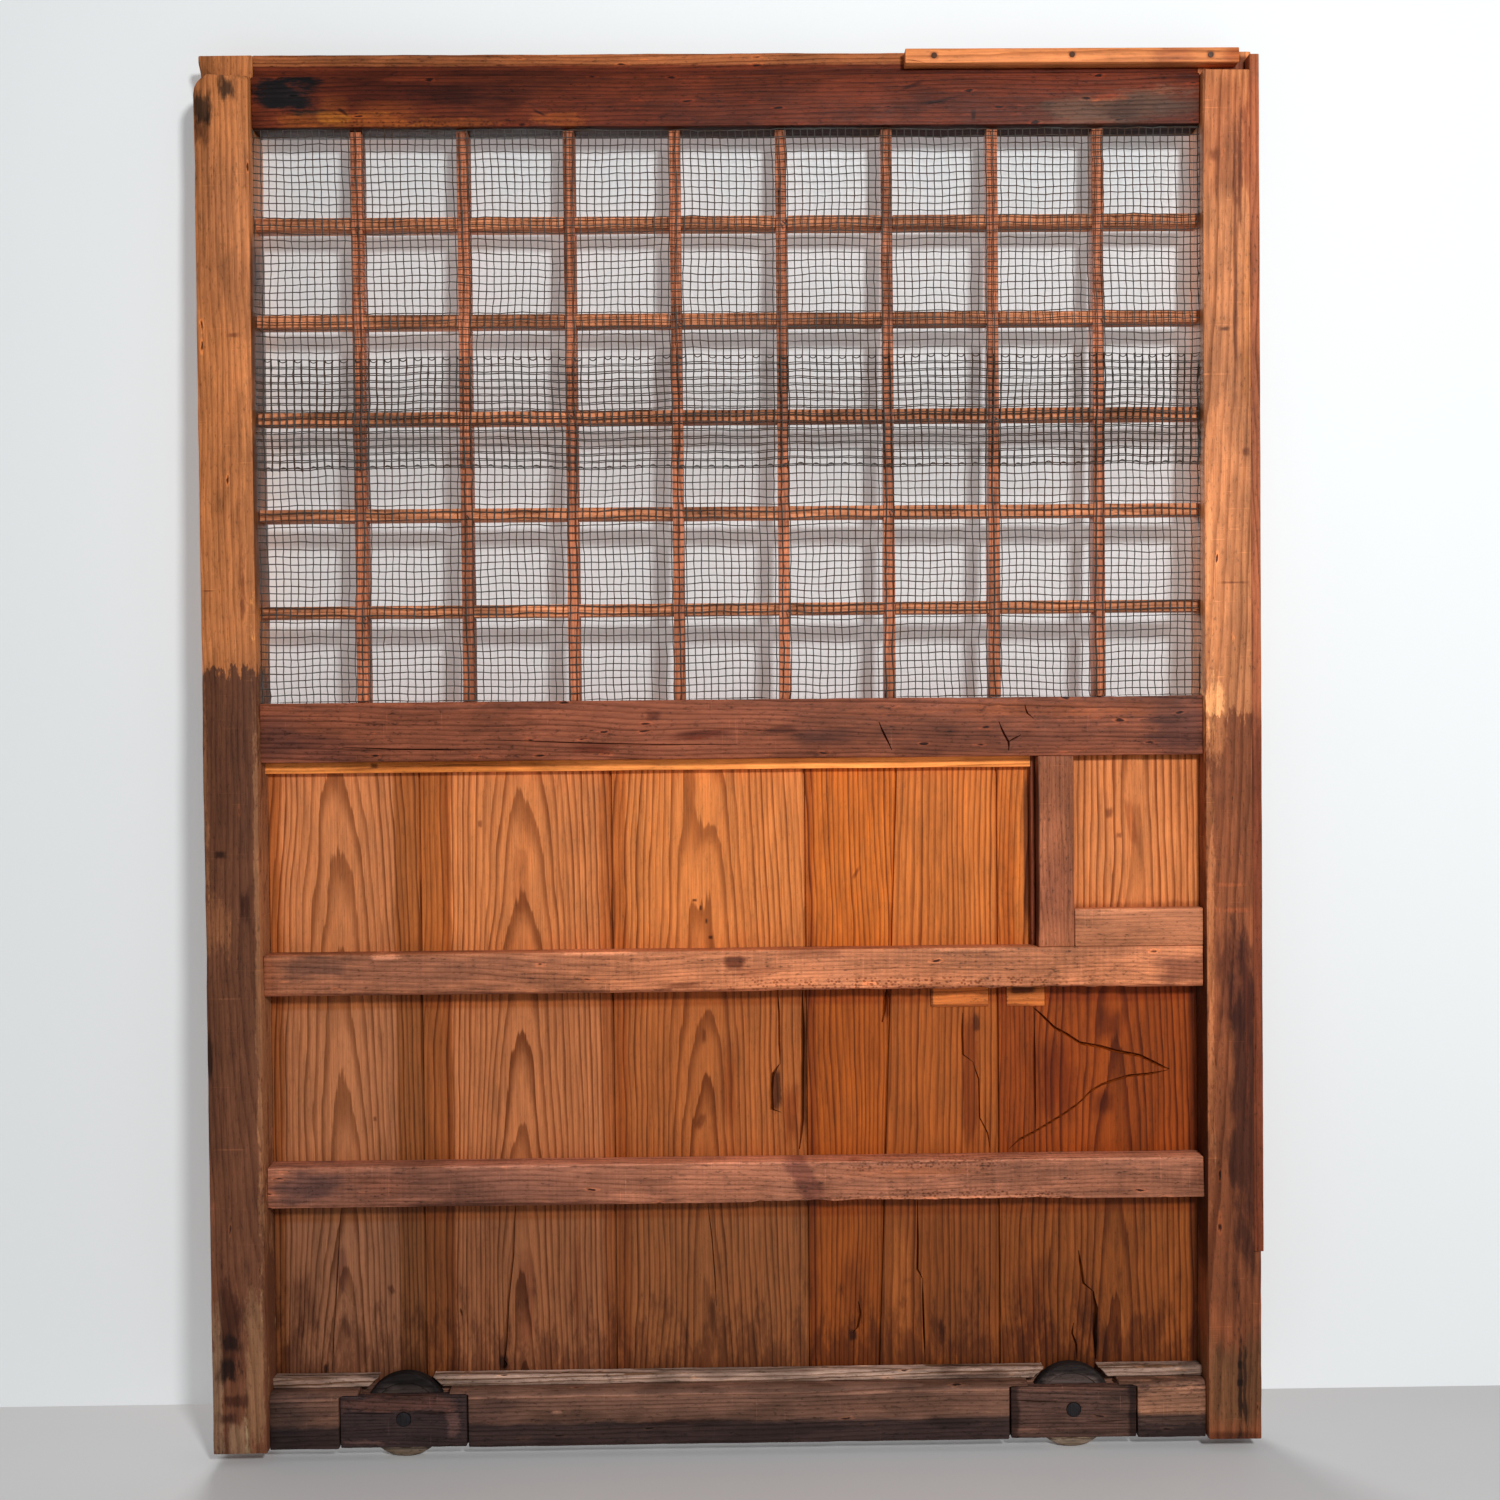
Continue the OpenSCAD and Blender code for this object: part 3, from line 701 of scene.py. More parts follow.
@dataclass(frozen=True)
class Timber(Finish):
    """Sawn, weathered wood with its rings, fibres, dents, worm holes and discolouring, and some
    painted shade and painted highlights.
    """

    tone: Colour
    grain: Grain = Grain.UPRIGHT
    ring: float = 5.0  # mm between rings
    pith: tuple[float, float] = (0.0, 60.0)  # mm across, and behind the stile fronts
    lean: float = 0.03  # how far the pith wanders per length
    middle: float = 500.0  # mm along, where the pith is nearest its place
    late: Colour = (0.46, 0.35, 0.24)
    contrast: float = 1.0
    streak: float = 0.8
    mottle: float = 0.9
    fleck: float = 0.5
    blotch: float = 0.0
    scratch: float = 0.0
    sawn: float = 0.0
    gouges: float = 0.0
    eaten: tuple[StainOrPaintedLight, ...] = ()  # where worms have left hole beside hole
    dull: float = 0.55
    relief: float = 0.45  # mm
    stains_and_painted_light: tuple[StainOrPaintedLight, ...] = ()
    stains_and_painted_light_to: float = 1000.0  # mm behind the stile fronts

    def made(self) -> bpy.types.Material:
        """Make the material."""
        graph = Graph(self.name)
        x, y, z = graph.place()
        along, across = (x, z) if self.grain is Grain.ACROSS else (z, x)
        wood = (graph, across, y, along)
        broad, smear, strands, fibre, speck = (
            fibres.noise(*wood) for fibres in (BROAD, SMEAR, STRANDS, FIBRE, SPECK)
        )
        late, colour = self.rings(graph, across, y, along, broad, strands)
        shade = (
            1
            + (fibre + strands - 1) * self.streak
            + (broad - 0.5) * (self.mottle * DRIFT)
            + (smear - 0.5) * self.mottle
            - speck.rise(*DARK_FLECK) * self.fleck
            + speck.fall(*PALE_FLECK) * (self.fleck * PALE_SHARE)
        )
        if self.blotch:
            shade = shade * (1 - BLOTCH.noise(*wood).rise(*BLOTCH_EDGE) * self.blotch)
        if self.scratch:
            rubbed = RUBBED.noise(*wood).rise(*RUBBED_EDGE)
            shade = shade + NICK.noise(*wood).rise(*NICK_EDGE) * rubbed * self.scratch
        if self.sawn:
            shade = shade + (SAW_MARK.noise(*wood) - 0.5) * self.sawn
        colour = graph.scaled(colour, shade.at_least(DARKEST))
        edge = smear + (speck - 0.5) * STAIN_AND_LIGHT_FRAY - 0.5
        deepest = (self.stains_and_painted_light_to - HALF_DEPTH) * MM
        front = y.fall(deepest - STAIN_AND_LIGHT_FADE * MM, deepest)
        # Each tint multiplies the colour: most are real dirt and wear, some are painted shade or
        # painted highlights.
        for stain_or_light in self.stains_and_painted_light:
            colour = graph.mix(stain_or_light.mask(x, z, edge) * front, colour, stain_or_light.tint, "MULTIPLY")
        if self.gouges:
            bent = across + (smear - 0.5) * GOUGE_BEND
            where = graph.vector(bent, y, along * GOUGE_STRETCH)
            colour = self.gouged(graph, colour, where, speck)
        for patch in self.eaten:
            away, kind = graph.cells(graph.vector(across, y, along * WORM_STRETCH), WORM_HOLES)
            hole = away.fall(*WORM_EDGE) * patch.mask(x, z, edge) * kind.rise(*WORM_DEPTH)
            colour = graph.mix(hole, colour, patch.tint, "MULTIPLY")
        rough = self.dull + (fibre - 0.5) * FIBRE_SHEEN + late * LATE_SHEEN
        return graph.surface(
            colour, rough, fibre + strands, self.relief * MM, Specular_IOR_Level=WOOD_GLOSS
        )

    def gouged(self, graph: Graph, colour: Value, where: Value, speck: Value) -> Value:
        """Scatter dents with pale lips over the wood.

        Args:
            graph: The material's graph.
            colour: Colour of the sound wood.
            where: Place in the wood, drawn out along the grain.
            speck: Fine noise that frays the dents.

        Returns:
            The colour.
        """
        away, kind = graph.cells(where, GOUGES)
        away = away + (speck - 0.5) * GOUGE_FRAY
        some = kind.rise(1 - self.gouges, 1 - self.gouges + GOUGE_RISE)
        colour = graph.mix(away.fall(*LIP_EDGE) * some * LIP_SHARE, colour, LIP_TINT, "MULTIPLY")
        return graph.mix(away.fall(*DENT_EDGE) * some, colour, DENT_TINT, "MULTIPLY")

    def rings(
        self, graph: Graph, across: Value, depth: Value, along: Value, broad: Value, strands: Value
    ) -> tuple[Value, Value]:
        """Draw the year rings about a wandering pith.

        Args:
            graph: The material's graph.
            across: Place across the grain in the face.
            depth: Place through the door.
            along: Place along the grain.
            broad: Slow noise that varies the ring widths.
            strands: Fine noise that frays the rings.

        Returns:
            The late wood from 0 to 1, and the colour.
        """
        sway = SWAY.noise(graph, across, depth, along) - 0.5
        aside = across - self.pith[0] * MM + sway * SWAY_ASIDE
        wander = (along - self.middle * MM) * self.lean
        deep = depth - (self.pith[1] - HALF_DEPTH) * MM + wander + sway * SWAY_DEEP
        radius = (aside * aside + deep * deep).root() / (self.ring * MM)
        rings = radius + broad * RING_DRIFT + strands * RING_FRAY
        part = rings.fraction()
        each = graph.chance(rings.floor()) * (1 - FAINTEST_RING) + FAINTEST_RING
        late = part.rise(*LATE_STARTS) * part.fall(*LATE_ENDS) * each
        late = late * self.contrast
        early = tuple(value * EARLY_TONE for value in self.tone)
        dark = tuple(value * share for value, share in zip(self.tone, self.late, strict=True))
        return late, graph.mix(late, early, dark)


@dataclass(frozen=True)
class Metal(Finish):
    """Bare, weathered iron or zinc with rust."""

    tone: Colour
    rust: Colour
    share: float = 0.5
    dull: float = 0.55
    patches: float = 26.0  # per metre
    specks: float = 700.0  # per metre
    relief: float = 0.08  # mm
    metallic: float = 0.35

    def made(self) -> bpy.types.Material:
        """Make the material."""
        graph = Graph(self.name)
        where = graph.vector(*graph.place())
        bloom = graph.noise(where, self.patches, 4.0, 0.6)
        speck = graph.noise(where, self.specks, 3.0, 0.7)
        low, high = 0.62 - self.share * 0.4, 0.72 - self.share * 0.2
        mask = (bloom + (speck - 0.5) * 0.5).rise(low, high)
        colour = graph.mix(mask, self.tone, self.rust)
        colour = graph.scaled(colour, 0.7 + speck * 0.6)
        rough = self.dull + mask * 0.25
        return graph.surface(colour, rough, speck, self.relief * MM, Metallic=self.metallic)


@dataclass(frozen=True)
class Floor(Finish):
    """Pale, faintly clouded studio floor."""

    tone: Colour

    def made(self) -> bpy.types.Material:
        """Make the material."""
        graph = Graph(self.name)
        where = graph.vector(*graph.place())
        cloud = graph.noise(where, 1.7, 4.0, 0.6)
        fine = graph.noise(where, 240.0, 2.0)
        colour = graph.mix(cloud * 0.4, self.tone, tuple(value * 0.8 for value in self.tone))
        return graph.surface(colour, 0.6 + fine * 0.2, fine, 0.1 * MM)


@dataclass(frozen=True)
class Backdrop(Finish):
    """Pale wall that shows to the camera alone, and only from its front."""

    tone: Colour
    glow: float = 0.22
    dull: float = 0.9

    def made(self) -> bpy.types.Material:
        """Make the material."""
        graph = Graph(self.name)
        cloud = graph.noise(graph.vector(*graph.place()), 1.3, 5.0, 0.6)
        colour = graph.mix(cloud * 0.4, self.tone, tuple(value * 0.92 for value in self.tone))
        paint = graph.node(
            "ShaderNodeBsdfPrincipled",
            {},
            {
                "Base Color": colour,
                "Emission Color": colour,
                "Roughness": self.dull,
                "Emission Strength": self.glow,
            },
        )
        clear = graph.node("ShaderNodeBsdfTransparent", {}, {})
        ray = graph.node("ShaderNodeLightPath", {}, {})
        side = graph.node("ShaderNodeNewGeometry", {}, {})
        front = 1 - Value(graph, side.outputs["Backfacing"])
        seen = Value(graph, ray.outputs["Is Camera Ray"]) * front
        both = graph.node(
            "ShaderNodeMixShader",
            {},
            {0: seen, 1: Value(graph, clear.outputs[0]), 2: Value(graph, paint.outputs[0])},
        )
        graph.node("ShaderNodeOutputMaterial", {}, {0: Value(graph, both.outputs[0])})
        return graph.material


WIRE = Metal("net_wire", (0.10, 0.09, 0.082), (0.085, 0.048, 0.03), 0.5)
NAIL_IRON = Metal("nail_iron", (0.10, 0.085, 0.075), (0.11, 0.045, 0.022), 0.8, 0.6)


# ---------------------------------------------------------------- frame


@dataclass
class DoorFrame(Assembly):
    """Stiles, rails, edge lath and head strip."""

    left: Stock = Stock(-665, -597, 0, 60, 16, 1745)
    right: Stock = Stock(594, 662, 0, 60, 16, 1745)
    top: Stock = Stock(-596.8, 593.8, 10, 51, 1681, 1745)
    middle: Stock = Stock(-596.8, 593.8, 10, 51, 887, 962)
    bottom: Stock = Stock(-596.8, 593.8, 10, 55, 16, 88)
    lath: Stock = Stock(653, 665, 0, 18, 256, 1764)
    strip: Stock = Stock(222, 641, 2, 20, 1755, 1773)
    tongue: tuple[float, float] = (20.0, 40.0)
    tongue_rise: float = 31.0
    tenon: tuple[float, float] = (20.0, 35.0)
    tenon_set: float = 10.0
    wedge_rise: float = 5.0
    wedge_run: float = 40.0
    arris: float = 2.2
    left_head: tuple[float, float] = (25.0, 11.0)  # worn corner and cheek
    right_head: tuple[float, float] = (3.0, 2.5)
    step: float = 19.0  # between the cuts that let a stile be uneven
    cuts: int = 88
    wheel_at: tuple[float, float] = WHEELS_AT

    def build(self) -> None:
        """Build and dress every piece of the frame."""
        rails = (self.top, self.middle, self.bottom)
        for name, stock, head in (
            ("left", self.left, self.left_head),
            ("right", self.right, self.right_head),
        ):
            stile = Bench.saw(f"stile_{name}", stock)
            self.raise_tongue(stile)
            self.wear_head(stile, stock, *head)
            steps = [stock.z0 + self.step * number for number in range(1, self.cuts + 1)]
            Bench.slice(stile, Axis.Z, *(z * MM for z in steps))
            Bench.ease(stile, self.arris * MM, 2)
            Bench.weather(stile, 1.4 * MM, 0.035)
            Bench.weather(stile, 1.6 * MM, 0.16)
            Bench.carve(stile, *(self.mortise(stock, rail) for rail in rails))
            if stock is self.right:
                Bench.carve(stile, Bench.saw("rebate", self.lath.grown(0.2, 3.0, 0.2)))
            self.keep(stile, STILES[name], "stile_wood", f"{name}_stile")
        self.rails()
        self.laths()
        wedges = bpy.data.objects["tenon_wedges"]
        wedges.data.materials.clear()
        wedges.data.materials.append(WEDGE_WOOD.material())

    def raise_tongue(self, obj: Object) -> None:
        """Draw the head tongue up out of a stile or rail."""
        low, high = (point(0, d, 0).y for d in self.tongue)
        Bench.slice(obj, Axis.Y, low, high)
        Bench.draw_out(
            obj,
            lambda f: f.normal.z > 0.9 and low < f.calc_center_median().y < high,
            Vector((0, 0, self.tongue_rise * MM)),
        )

    def mortise(self, stile: Stock, rail: Stock) -> Object:
        """Make the cutter for a through mortise, flared for its wedges.

        Args:
            stile: The stile that is cut.
            rail: The rail whose tenon goes in.

        Returns:
            The cutter.
        """
        hole = Stock(
            stile.x0, stile.x1, *self.tenon, rail.z0 + self.tenon_set, rail.z1 - self.tenon_set
        ).grown(3, 0.3, 0.2)
        cutter = Bench.saw("mortise", hole)
        sign = -1 if stile.x0 < 0 else 1
        outer = stile.x0 if sign < 0 else stile.x1
        Bench.slice(cutter, Axis.X, (outer - sign * self.wedge_run) * MM)
        middle = (hole.z0 + hole.z1) / 2 * MM
        for up in (1, -1):
            Bench.shift(
                cutter,
                lambda v, up=up: v.co.x * sign > abs(outer) * MM and (v.co.z - middle) * up > 0,
                Vector((0, 0, up * self.wedge_rise * MM)),
            )
        return cutter

    def wear_head(self, stile: Object, stock: Stock, wide: float, deep: float) -> None:
        """Round the front cheek at the head of a stile.

        Args:
            stile: The stile.
            stock: Its size and place.
            wide: Radius of the left corner in mm.
            deep: Radius of the front edge in mm.
        """
        front, shoulder = stock.low.y, stock.high.z
        corner = stock.low.x
        behind = point(0, self.tongue[0] + 0.5, 0).y
        Bench.round_off(
            stile,
            lambda e: all(
                abs(v.co.z - shoulder) < NEAR and abs(v.co.x - corner) < NEAR and v.co.y < behind
                for v in e.verts
            ),
            wide * MM,
            5,
        )
        Bench.round_off(
            stile,
            lambda e: all(
                v.co.z > shoulder - NEAR and abs(v.co.y - front) < NEAR for v in e.verts
            ),
            deep * MM,
            3,
        )

    def rails(self) -> None:
        """Build the three rails with their tenons."""
        top = Bench.saw("rail_top", self.top)
        self.raise_tongue(top)
        middle = Bench.saw("rail_middle", self.middle)
        bottom = Bench.saw("rail_bottom", self.bottom)
        for obj, stock, node in (
            (top, self.top, "top_rail"),
            (middle, self.middle, "middle_rail"),
            (bottom, self.bottom, "bottom_rail"),
        ):
            Bench.divide(obj, Axis.X, 150)
            if obj is middle:
                Bench.carve(obj, Bench.saw("rebate", Stock(-700, 700, 40.8, 60, 880, 895)))
            if obj is bottom:
                self.cut_foot(obj)
            Bench.ease(obj, 1.6 * MM, 2)
            Bench.weather(obj, 1.0 * MM, 0.03)
            Bench.weather(obj, 1.0 * MM, 0.14)
            if obj is top:
                Bench.gnaw(obj, self.top.front_arris(False), 4 * MM, 0.03)
            if obj is middle:
                Bench.gnaw(obj, self.middle.front_arris(True, 270, 590), 3.5 * MM, 0.012)
                Bench.carve(obj, *(crack.cutter(self.middle.d0) for crack in RAIL_CRACKS))
            tenon = Stock(
                self.left.x0 + 0.4, self.right.x1 - 0.4, *self.tenon,
                stock.z0 + self.tenon_set, stock.z1 - self.tenon_set,
            )
            Bench.fuse(obj, Bench.saw("tenon", tenon))
            self.keep(obj, RAILS[node], "rail_wood", node)

    def cut_foot(self, obj: Object) -> None:
        """Wear the bottom rail's front edge and cut its wheel bays and board groove."""
        high, front = self.bottom.z1 * MM, point(0, self.bottom.d0, 0).y
        Bench.round_off(
            obj,
            lambda e: all(
                abs(v.co.z - high) < NEAR and abs(v.co.y - front) < NEAR for v in e.verts
            ),
            8 * MM,
            3,
        )
        Bench.carve(obj, Bench.saw("groove", Stock(-597, 594, 40.8, 51.2, 80, 95)))
        for middle in self.wheel_at:
            Bench.carve(
                obj,
                Bench.saw("slot", Stock(middle - 58, middle + 58, 0, 38, 0, 120)),
                Bench.saw("housing", Stock(middle - 82, middle + 82, 0, 21, 0, 83.5)),
            )
            ends = (point(middle, depth, AXLE_Z) for depth in (0, 50.2))
            Bench.carve(obj, Bench.rod("bore", 9.1 * MM, *ends))

    def laths(self) -> None:
        """Build the edge lath and the new strip on the head tongue."""
        lath = Bench.saw("stile_edge_lath", self.lath)
        Bench.divide(lath, Axis.Z, 80)
        Bench.ease(lath, 0.9 * MM)
        Bench.weather(lath, 0.7 * MM, 0.05)
        self.keep(lath, LATH_WOOD, "stile_wood", "edge_lath")
        strip = Bench.saw("head_nailed_strip", self.strip)
        Bench.divide(strip, Axis.X, 40)
        Bench.ease(strip, 0.8 * MM)
        Bench.weather(strip, 0.5 * MM, 0.09)
        Bench.carve(strip, SPLICE.cutter(self.strip.d0))
        self.keep(strip, NEW_PINE, "new_wood", "head_strip")


@dataclass(frozen=True)
class Crack:
    """An open crack, as points across and up the door in mm."""

    path: tuple[tuple[float, float], ...]
    width: float = 1.4
    depth: float = 5.0
    run: Axis = Axis.Z

    def cutter(self, face: float) -> Object:
        """Make the cutter for a face at a depth in mm."""
        spots = [point(x, face - 0.2, z) for x, z in self.path]
        return Bench.groove(spots, self.width * MM, self.depth * MM, self.run)


SPLICE = Crack(((223, 1759), (232, 1758), (246, 1755.5)), 2.0, 4, Axis.X)
RAIL_CRACKS = (
    Crack(((-492, 906), (-430, 903), (-375, 902), (-318, 901)), 4.4, 8, Axis.X),
    Crack(((-312, 914), (-200, 909), (-100, 906), (4, 905)), 3.6, 7, Axis.X),
    Crack(((335, 931), (341, 916), (347, 905), (347, 894)), 7.5, 8),
    Crack(((346, 904), (354, 909), (363, 914)), 7.0, 8, Axis.X),
    Crack(((183, 932), (190, 915), (199, 896)), 7.0, 7),
    Crack(((368, 952), (371, 941), (379, 934)), 7.0, 6),
)


# ---------------------------------------------------------------- lattice and net


@dataclass
class Lattice(Assembly):
    """Eight uprights and five crossbars, half lapped where they cross."""

    left: float = -597.0
    right: float = 594.0
    low: float = 962.0
    high: float = 1681.0
    front: float = 23.0
    back: float = 49.0
    upright_w: float = 14.0
    crossbar_h: float = 15.0
    uprights: int = 8
    crossbars: int = 5
    play: float = 0.3
    setback: float = 0.6  # of the crossbars behind the uprights
    cuts: int = 24  # that let a bar be uneven

    @staticmethod
    def spread(start: float, end: float, count: int, width: float) -> list[float]:
        """Share an opening out evenly, and give the middles of its bars in mm."""
        clear = (end - start - count * width) / (count + 1)
        first = start + clear + width / 2
        return [first + (clear + width) * number for number in range(count)]

    def columns(self) -> list[float]:
        """Give the middles of the uprights in mm."""
        return self.spread(self.left, self.right, self.uprights, self.upright_w)

    def rows(self) -> list[float]:
        """Give the middles of the crossbars in mm."""
        return self.spread(self.low, self.high, self.crossbars, self.crossbar_h)

    def build(self) -> None:
        """Build and dress the bars."""
        columns, rows = self.columns(), self.rows()
        middle = (self.front + self.back) / 2
        across, up = self.upright_w / 2, self.crossbar_h / 2
        sides, depths = (columns[0] - across, columns[0] + across), (self.front, middle - self.play)
        upright = Stock(*sides, *depths, self.low, self.high)
        model = self.bar(upright, Axis.Z, rows, up + self.play, self.back - middle)
        for number, column in enumerate(columns, 1):
            move = point(column - columns[0], HALF_DEPTH, 0)
            bar = Bench.copy(model, f"grid_upright_{number}", move)
            self.finish(bar, Axis.Z, f"lattice_upright_{number}")
        bpy.data.objects.remove(model)
        crossbar = Stock(self.left, self.right, middle, self.back, rows[0] - up, rows[0] + up)
        rise = self.front + self.setback - middle
        model = self.bar(crossbar, Axis.X, columns, across + self.play, rise)
        for number, row in enumerate(rows, 1):
            move = point(0, HALF_DEPTH, row - rows[0])
            bar = Bench.copy(model, f"grid_crossbar_{number}", move)
            self.finish(bar, Axis.X, f"lattice_crossbar_{number}")
        bpy.data.objects.remove(model)

    @staticmethod
    def bar(stock: Stock, axis: Axis, crossings: list[float], reach: float, rise: float) -> Object:
        """Cut one bar, whole in one half of its depth and notched in the other.

        Args:
            stock: The half that is whole.
            axis: Its long direction.
            crossings: Middles of the bars that cross it, in mm.
            reach: Half the width of a notch in mm.
            rise: Depth of the notched half in mm, less than 0 where it is in front.

        Returns:
            The bar.
        """
        obj = Bench.saw("bar_model", stock)
        Bench.slice(obj, axis, *((at + side * reach) * MM for at in crossings for side in (-1, 1)))
        side = math.copysign(1, rise)

        def clear(face: Any) -> bool:
            """Tell whether a face lies between two notches."""
            place = face.calc_center_median()[axis.value]
            return face.normal.y * side > 0.9 and all(
                abs(place - at * MM) > reach * MM for at in crossings
            )

        Bench.draw_out(obj, clear, Vector((0, rise * MM, 0)))
        return obj

    def finish(self, bar: Object, axis: Axis, node: str) -> None:
        """Ease, wear and dress one bar."""
        low, high = (self.low, self.high) if axis is Axis.Z else (self.left, self.right)
        steps = range(1, self.cuts)
        Bench.slice(bar, axis, *((low + (high - low) * n / self.cuts) * MM for n in steps))
        Bench.ease(bar, 0.9 * MM)
        Bench.weather(bar, 1.2 * MM, 0.05)
        finish = UPRIGHT_WOOD if axis is Axis.Z else CROSSBAR_WOOD
        self.keep(bar, finish, "lattice_wood", node)


@dataclass
class WireNet(Assembly):
    """Two overlapping sheets of woven wire, folded forward along the frame."""

    left: float = -596.0
    right: float = 593.0
    low: float = 963.0
    high: float = 1680.0
    lower_top: float = 1385.0
    upper_foot: float = 1258.0
    lower_depth: float = 20.9
    upper_depth: float = 17.6
    columns: int = 128
    wire: float = 0.66  # radius
    wave: float = 0.6
    creases: tuple[tuple[str, float, float], ...] = (  # direction, swing in mm, size in metres
        ("X", 9.0, 0.16),
        ("Z", 9.0, 0.13),
        ("X", 2.6, 0.022),
        ("Z", 2.6, 0.025),
        ("Y", 1.6, 0.07),
    )
    fold_share: float = 0.12  # what is left of a folded edge's width
    fold_out: float = 2.5
    tie_wire: float = 0.55  # radius
    tie_r: float = 0.8
    tie_twist: float = 0.9  # radians a step
    tie_steps: int = 8
    tie_lean: tuple[float, float, float] = (0.5, -0.75, -0.7)  # mm a step
    lattice: Lattice = field(default_factory=Lattice)

    @property
    def pitch(self) -> float:
        """Middle to middle of two wires in mm."""
        return (self.right - self.left) / self.columns

    def build(self) -> None:
        """Build and dress both sheets and the ties."""
        self.sheet("net_lower", self.lower_depth, self.low, self.lower_top, "lower_wire_mesh")
        self.sheet("net_upper", self.upper_depth, self.upper_foot, self.high, "upper_wire_mesh")
        self.ties()

    def strand(self, start: Vector, step: Vector, swing: Vector, count: int) -> Object:
        """Weave one wire: a small ring drawn out from crossing to crossing.

        Args:
            start: First crossing, in mm.
            step: From crossing to crossing, in mm.
            swing: Half of its swing through the net, in mm.
            count: How many crossings it has.

        Returns:
            The wire.
        """
        bpy.ops.object.select_all(action="DESELECT")
        flat = (0.0, math.pi / 2, 0.0) if step.x else (0.0, 0.0, 0.0)
        bpy.ops.mesh.primitive_circle_add(
            vertices=4, radius=self.wire * MM, location=(start + swing) * MM, rotation=flat
        )
        obj = Bench.fresh("strand")
        with Bench.edit(obj):
            for back in (-1, 1):
                move = (step + swing * 2 * back) * MM
                bpy.ops.mesh.extrude_region_move(TRANSFORM_OT_translate={"value": move})
        self.repeat(obj, step * 2, count // 2, True)
        return obj

    @staticmethod
    def repeat(obj: Object, step: Vector, count: int, merge: bool) -> None:
        """Repeat a mesh at a step in mm, merged end to end or loose."""
        Bench.apply(
            obj,
            "ARRAY",
            count=count,
            use_relative_offset=False,
            use_constant_offset=True,
            constant_offset_displace=step * MM,
            use_merge_vertices=merge,
            merge_threshold=2e-5,
        )

    def sheet(self, name: str, depth: float, low: float, high: float, node: str) -> None:
        """Weave one sheet, loop its free edge and fold the others forward.

        Args:
            name: Name of the piece.
            depth: Its depth behind the stile fronts in mm.
            low: Lower edge in mm.
            high: Upper edge in mm.
            node: Frame node that it stands for.
        """
        pitch, upper = self.pitch, node.startswith("upper")
        rows = round((high - low) / pitch / 2) * 2
        rise = (high - low) / rows
        y = depth - HALF_DEPTH
        swing = Vector((0, self.wave, 0))
        right, up = Vector((pitch, 0, 0)), Vector((0, 0, rise))
        # one extra mesh for the folds: left, right and the framed edge
        start = Vector((self.left - pitch, y, low if upper else low - rise))
        tall, wide = rows + 2, self.columns + 2
        wires = []
        for odd in (0, 1):
            sign = 1 - 2 * odd
            upright = self.strand(start + right * odd, up, swing * sign, tall - 2 + 2 * (not upper))
            self.repeat(upright, right * 2, wide // 2 + (not odd), False)
            level = self.strand(start + up * odd, right, swing * -sign, wide)
            self.repeat(level, up * 2, tall // 2 - (upper and odd), False)
            wires += [upright, level]
        wires.append(self.loops(start, right, up, rows, upper))
        Bench.join(wires[0], wires[1:])
        net = wires[0]
        net.name = net.data.name = name
        with Bench.edit(net):
            bpy.ops.mesh.fill_holes(sides=4)
        self.crumple(net)
        self.fold(net, Axis.X, self.left, -1)
        self.fold(net, Axis.X, self.right, 1)
        self.fold(net, Axis.Z, high if upper else low, 1 if upper else -1)
        Bench.face_out(net)
        self.keep(net, WIRE, "mesh_wire", node)

    def loops(self, start: Vector, right: Vector, up: Vector, rows: int, upper: bool) -> Object:
        """Bend the loops that join the wires in pairs along a sheet's free edge.

        Args:
            start: First crossing of the sheet, in mm.
            right: Step across, in mm.
            up: Step up, in mm.
            rows: Meshes in the height.
            upper: Whether this is the upper sheet, looped at its foot.

        Returns:
            The row of loops.
        """
        edge = start if upper else start + up * (rows + 2)
        leg = (-0.35 if upper else 0.35) * up
        bpy.ops.object.select_all(action="DESELECT")
        bpy.ops.mesh.primitive_circle_add(vertices=4, radius=self.wire * MM, location=edge * MM)
        obj = Bench.fresh("loop")
        middle = edge + leg + right / 2
        with Bench.edit(obj):
            bpy.ops.mesh.extrude_region_move(TRANSFORM_OT_translate={"value": leg * MM})
            bpy.ops.mesh.spin(
                steps=6,
                angle=math.pi * (-1 if upper else 1),
                center=middle * MM,
                axis=(0, 1, 0),
            )
            bpy.ops.mesh.extrude_region_move(TRANSFORM_OT_translate={"value": -leg * MM})
        self.repeat(obj, right * 2, self.columns // 2 + 1, False)
        return obj

    def crumple(self, net: Object) -> None:
        """Pull the meshes a little out of square and out of flat."""
        for direction, amount, size in self.creases:
            Bench.weather(net, amount * MM, size, direction=direction)

    def fold(self, net: Object, axis: Axis, line: float, side: int) -> None:
        """Fold forward what lies beyond a line in mm."""
        squeeze = [1.0, 1.0, 1.0]
        squeeze[axis.value] = self.fold_share
        with Bench.edit(net):
            Bench.mark(net, Pick.VERT, lambda v: (v.co[axis.value] - line * MM) * side > 0)
            bpy.ops.transform.resize(value=squeeze, center_override=(line * MM, 0, line * MM))
            bpy.ops.transform.translate(value=(0, -self.fold_out * MM, 0))

    def ties(self) -> None:
        """Twist short ties of wire round lattice crossings."""
        model = self.tie()
        columns, rows = self.lattice.columns(), self.lattice.rows()
        twists = []
        for column, x in enumerate(columns):
            for row, z in enumerate(rows):
                if (column * 3 + row * 5) % 4 == 0:
                    move = point(x + 4 - 2 * (row % 3), HALF_DEPTH, z - 5 + 3 * (column % 3))
                    twists.append(Bench.copy(model, "tie", move))
        bpy.data.objects.remove(model)
        Bench.join(twists[0], twists[1:])
        twists[0].name = twists[0].data.name = "net_ties"
        Bench.face_out(twists[0])
        self.keep(twists[0], WIRE, "mesh_wire")

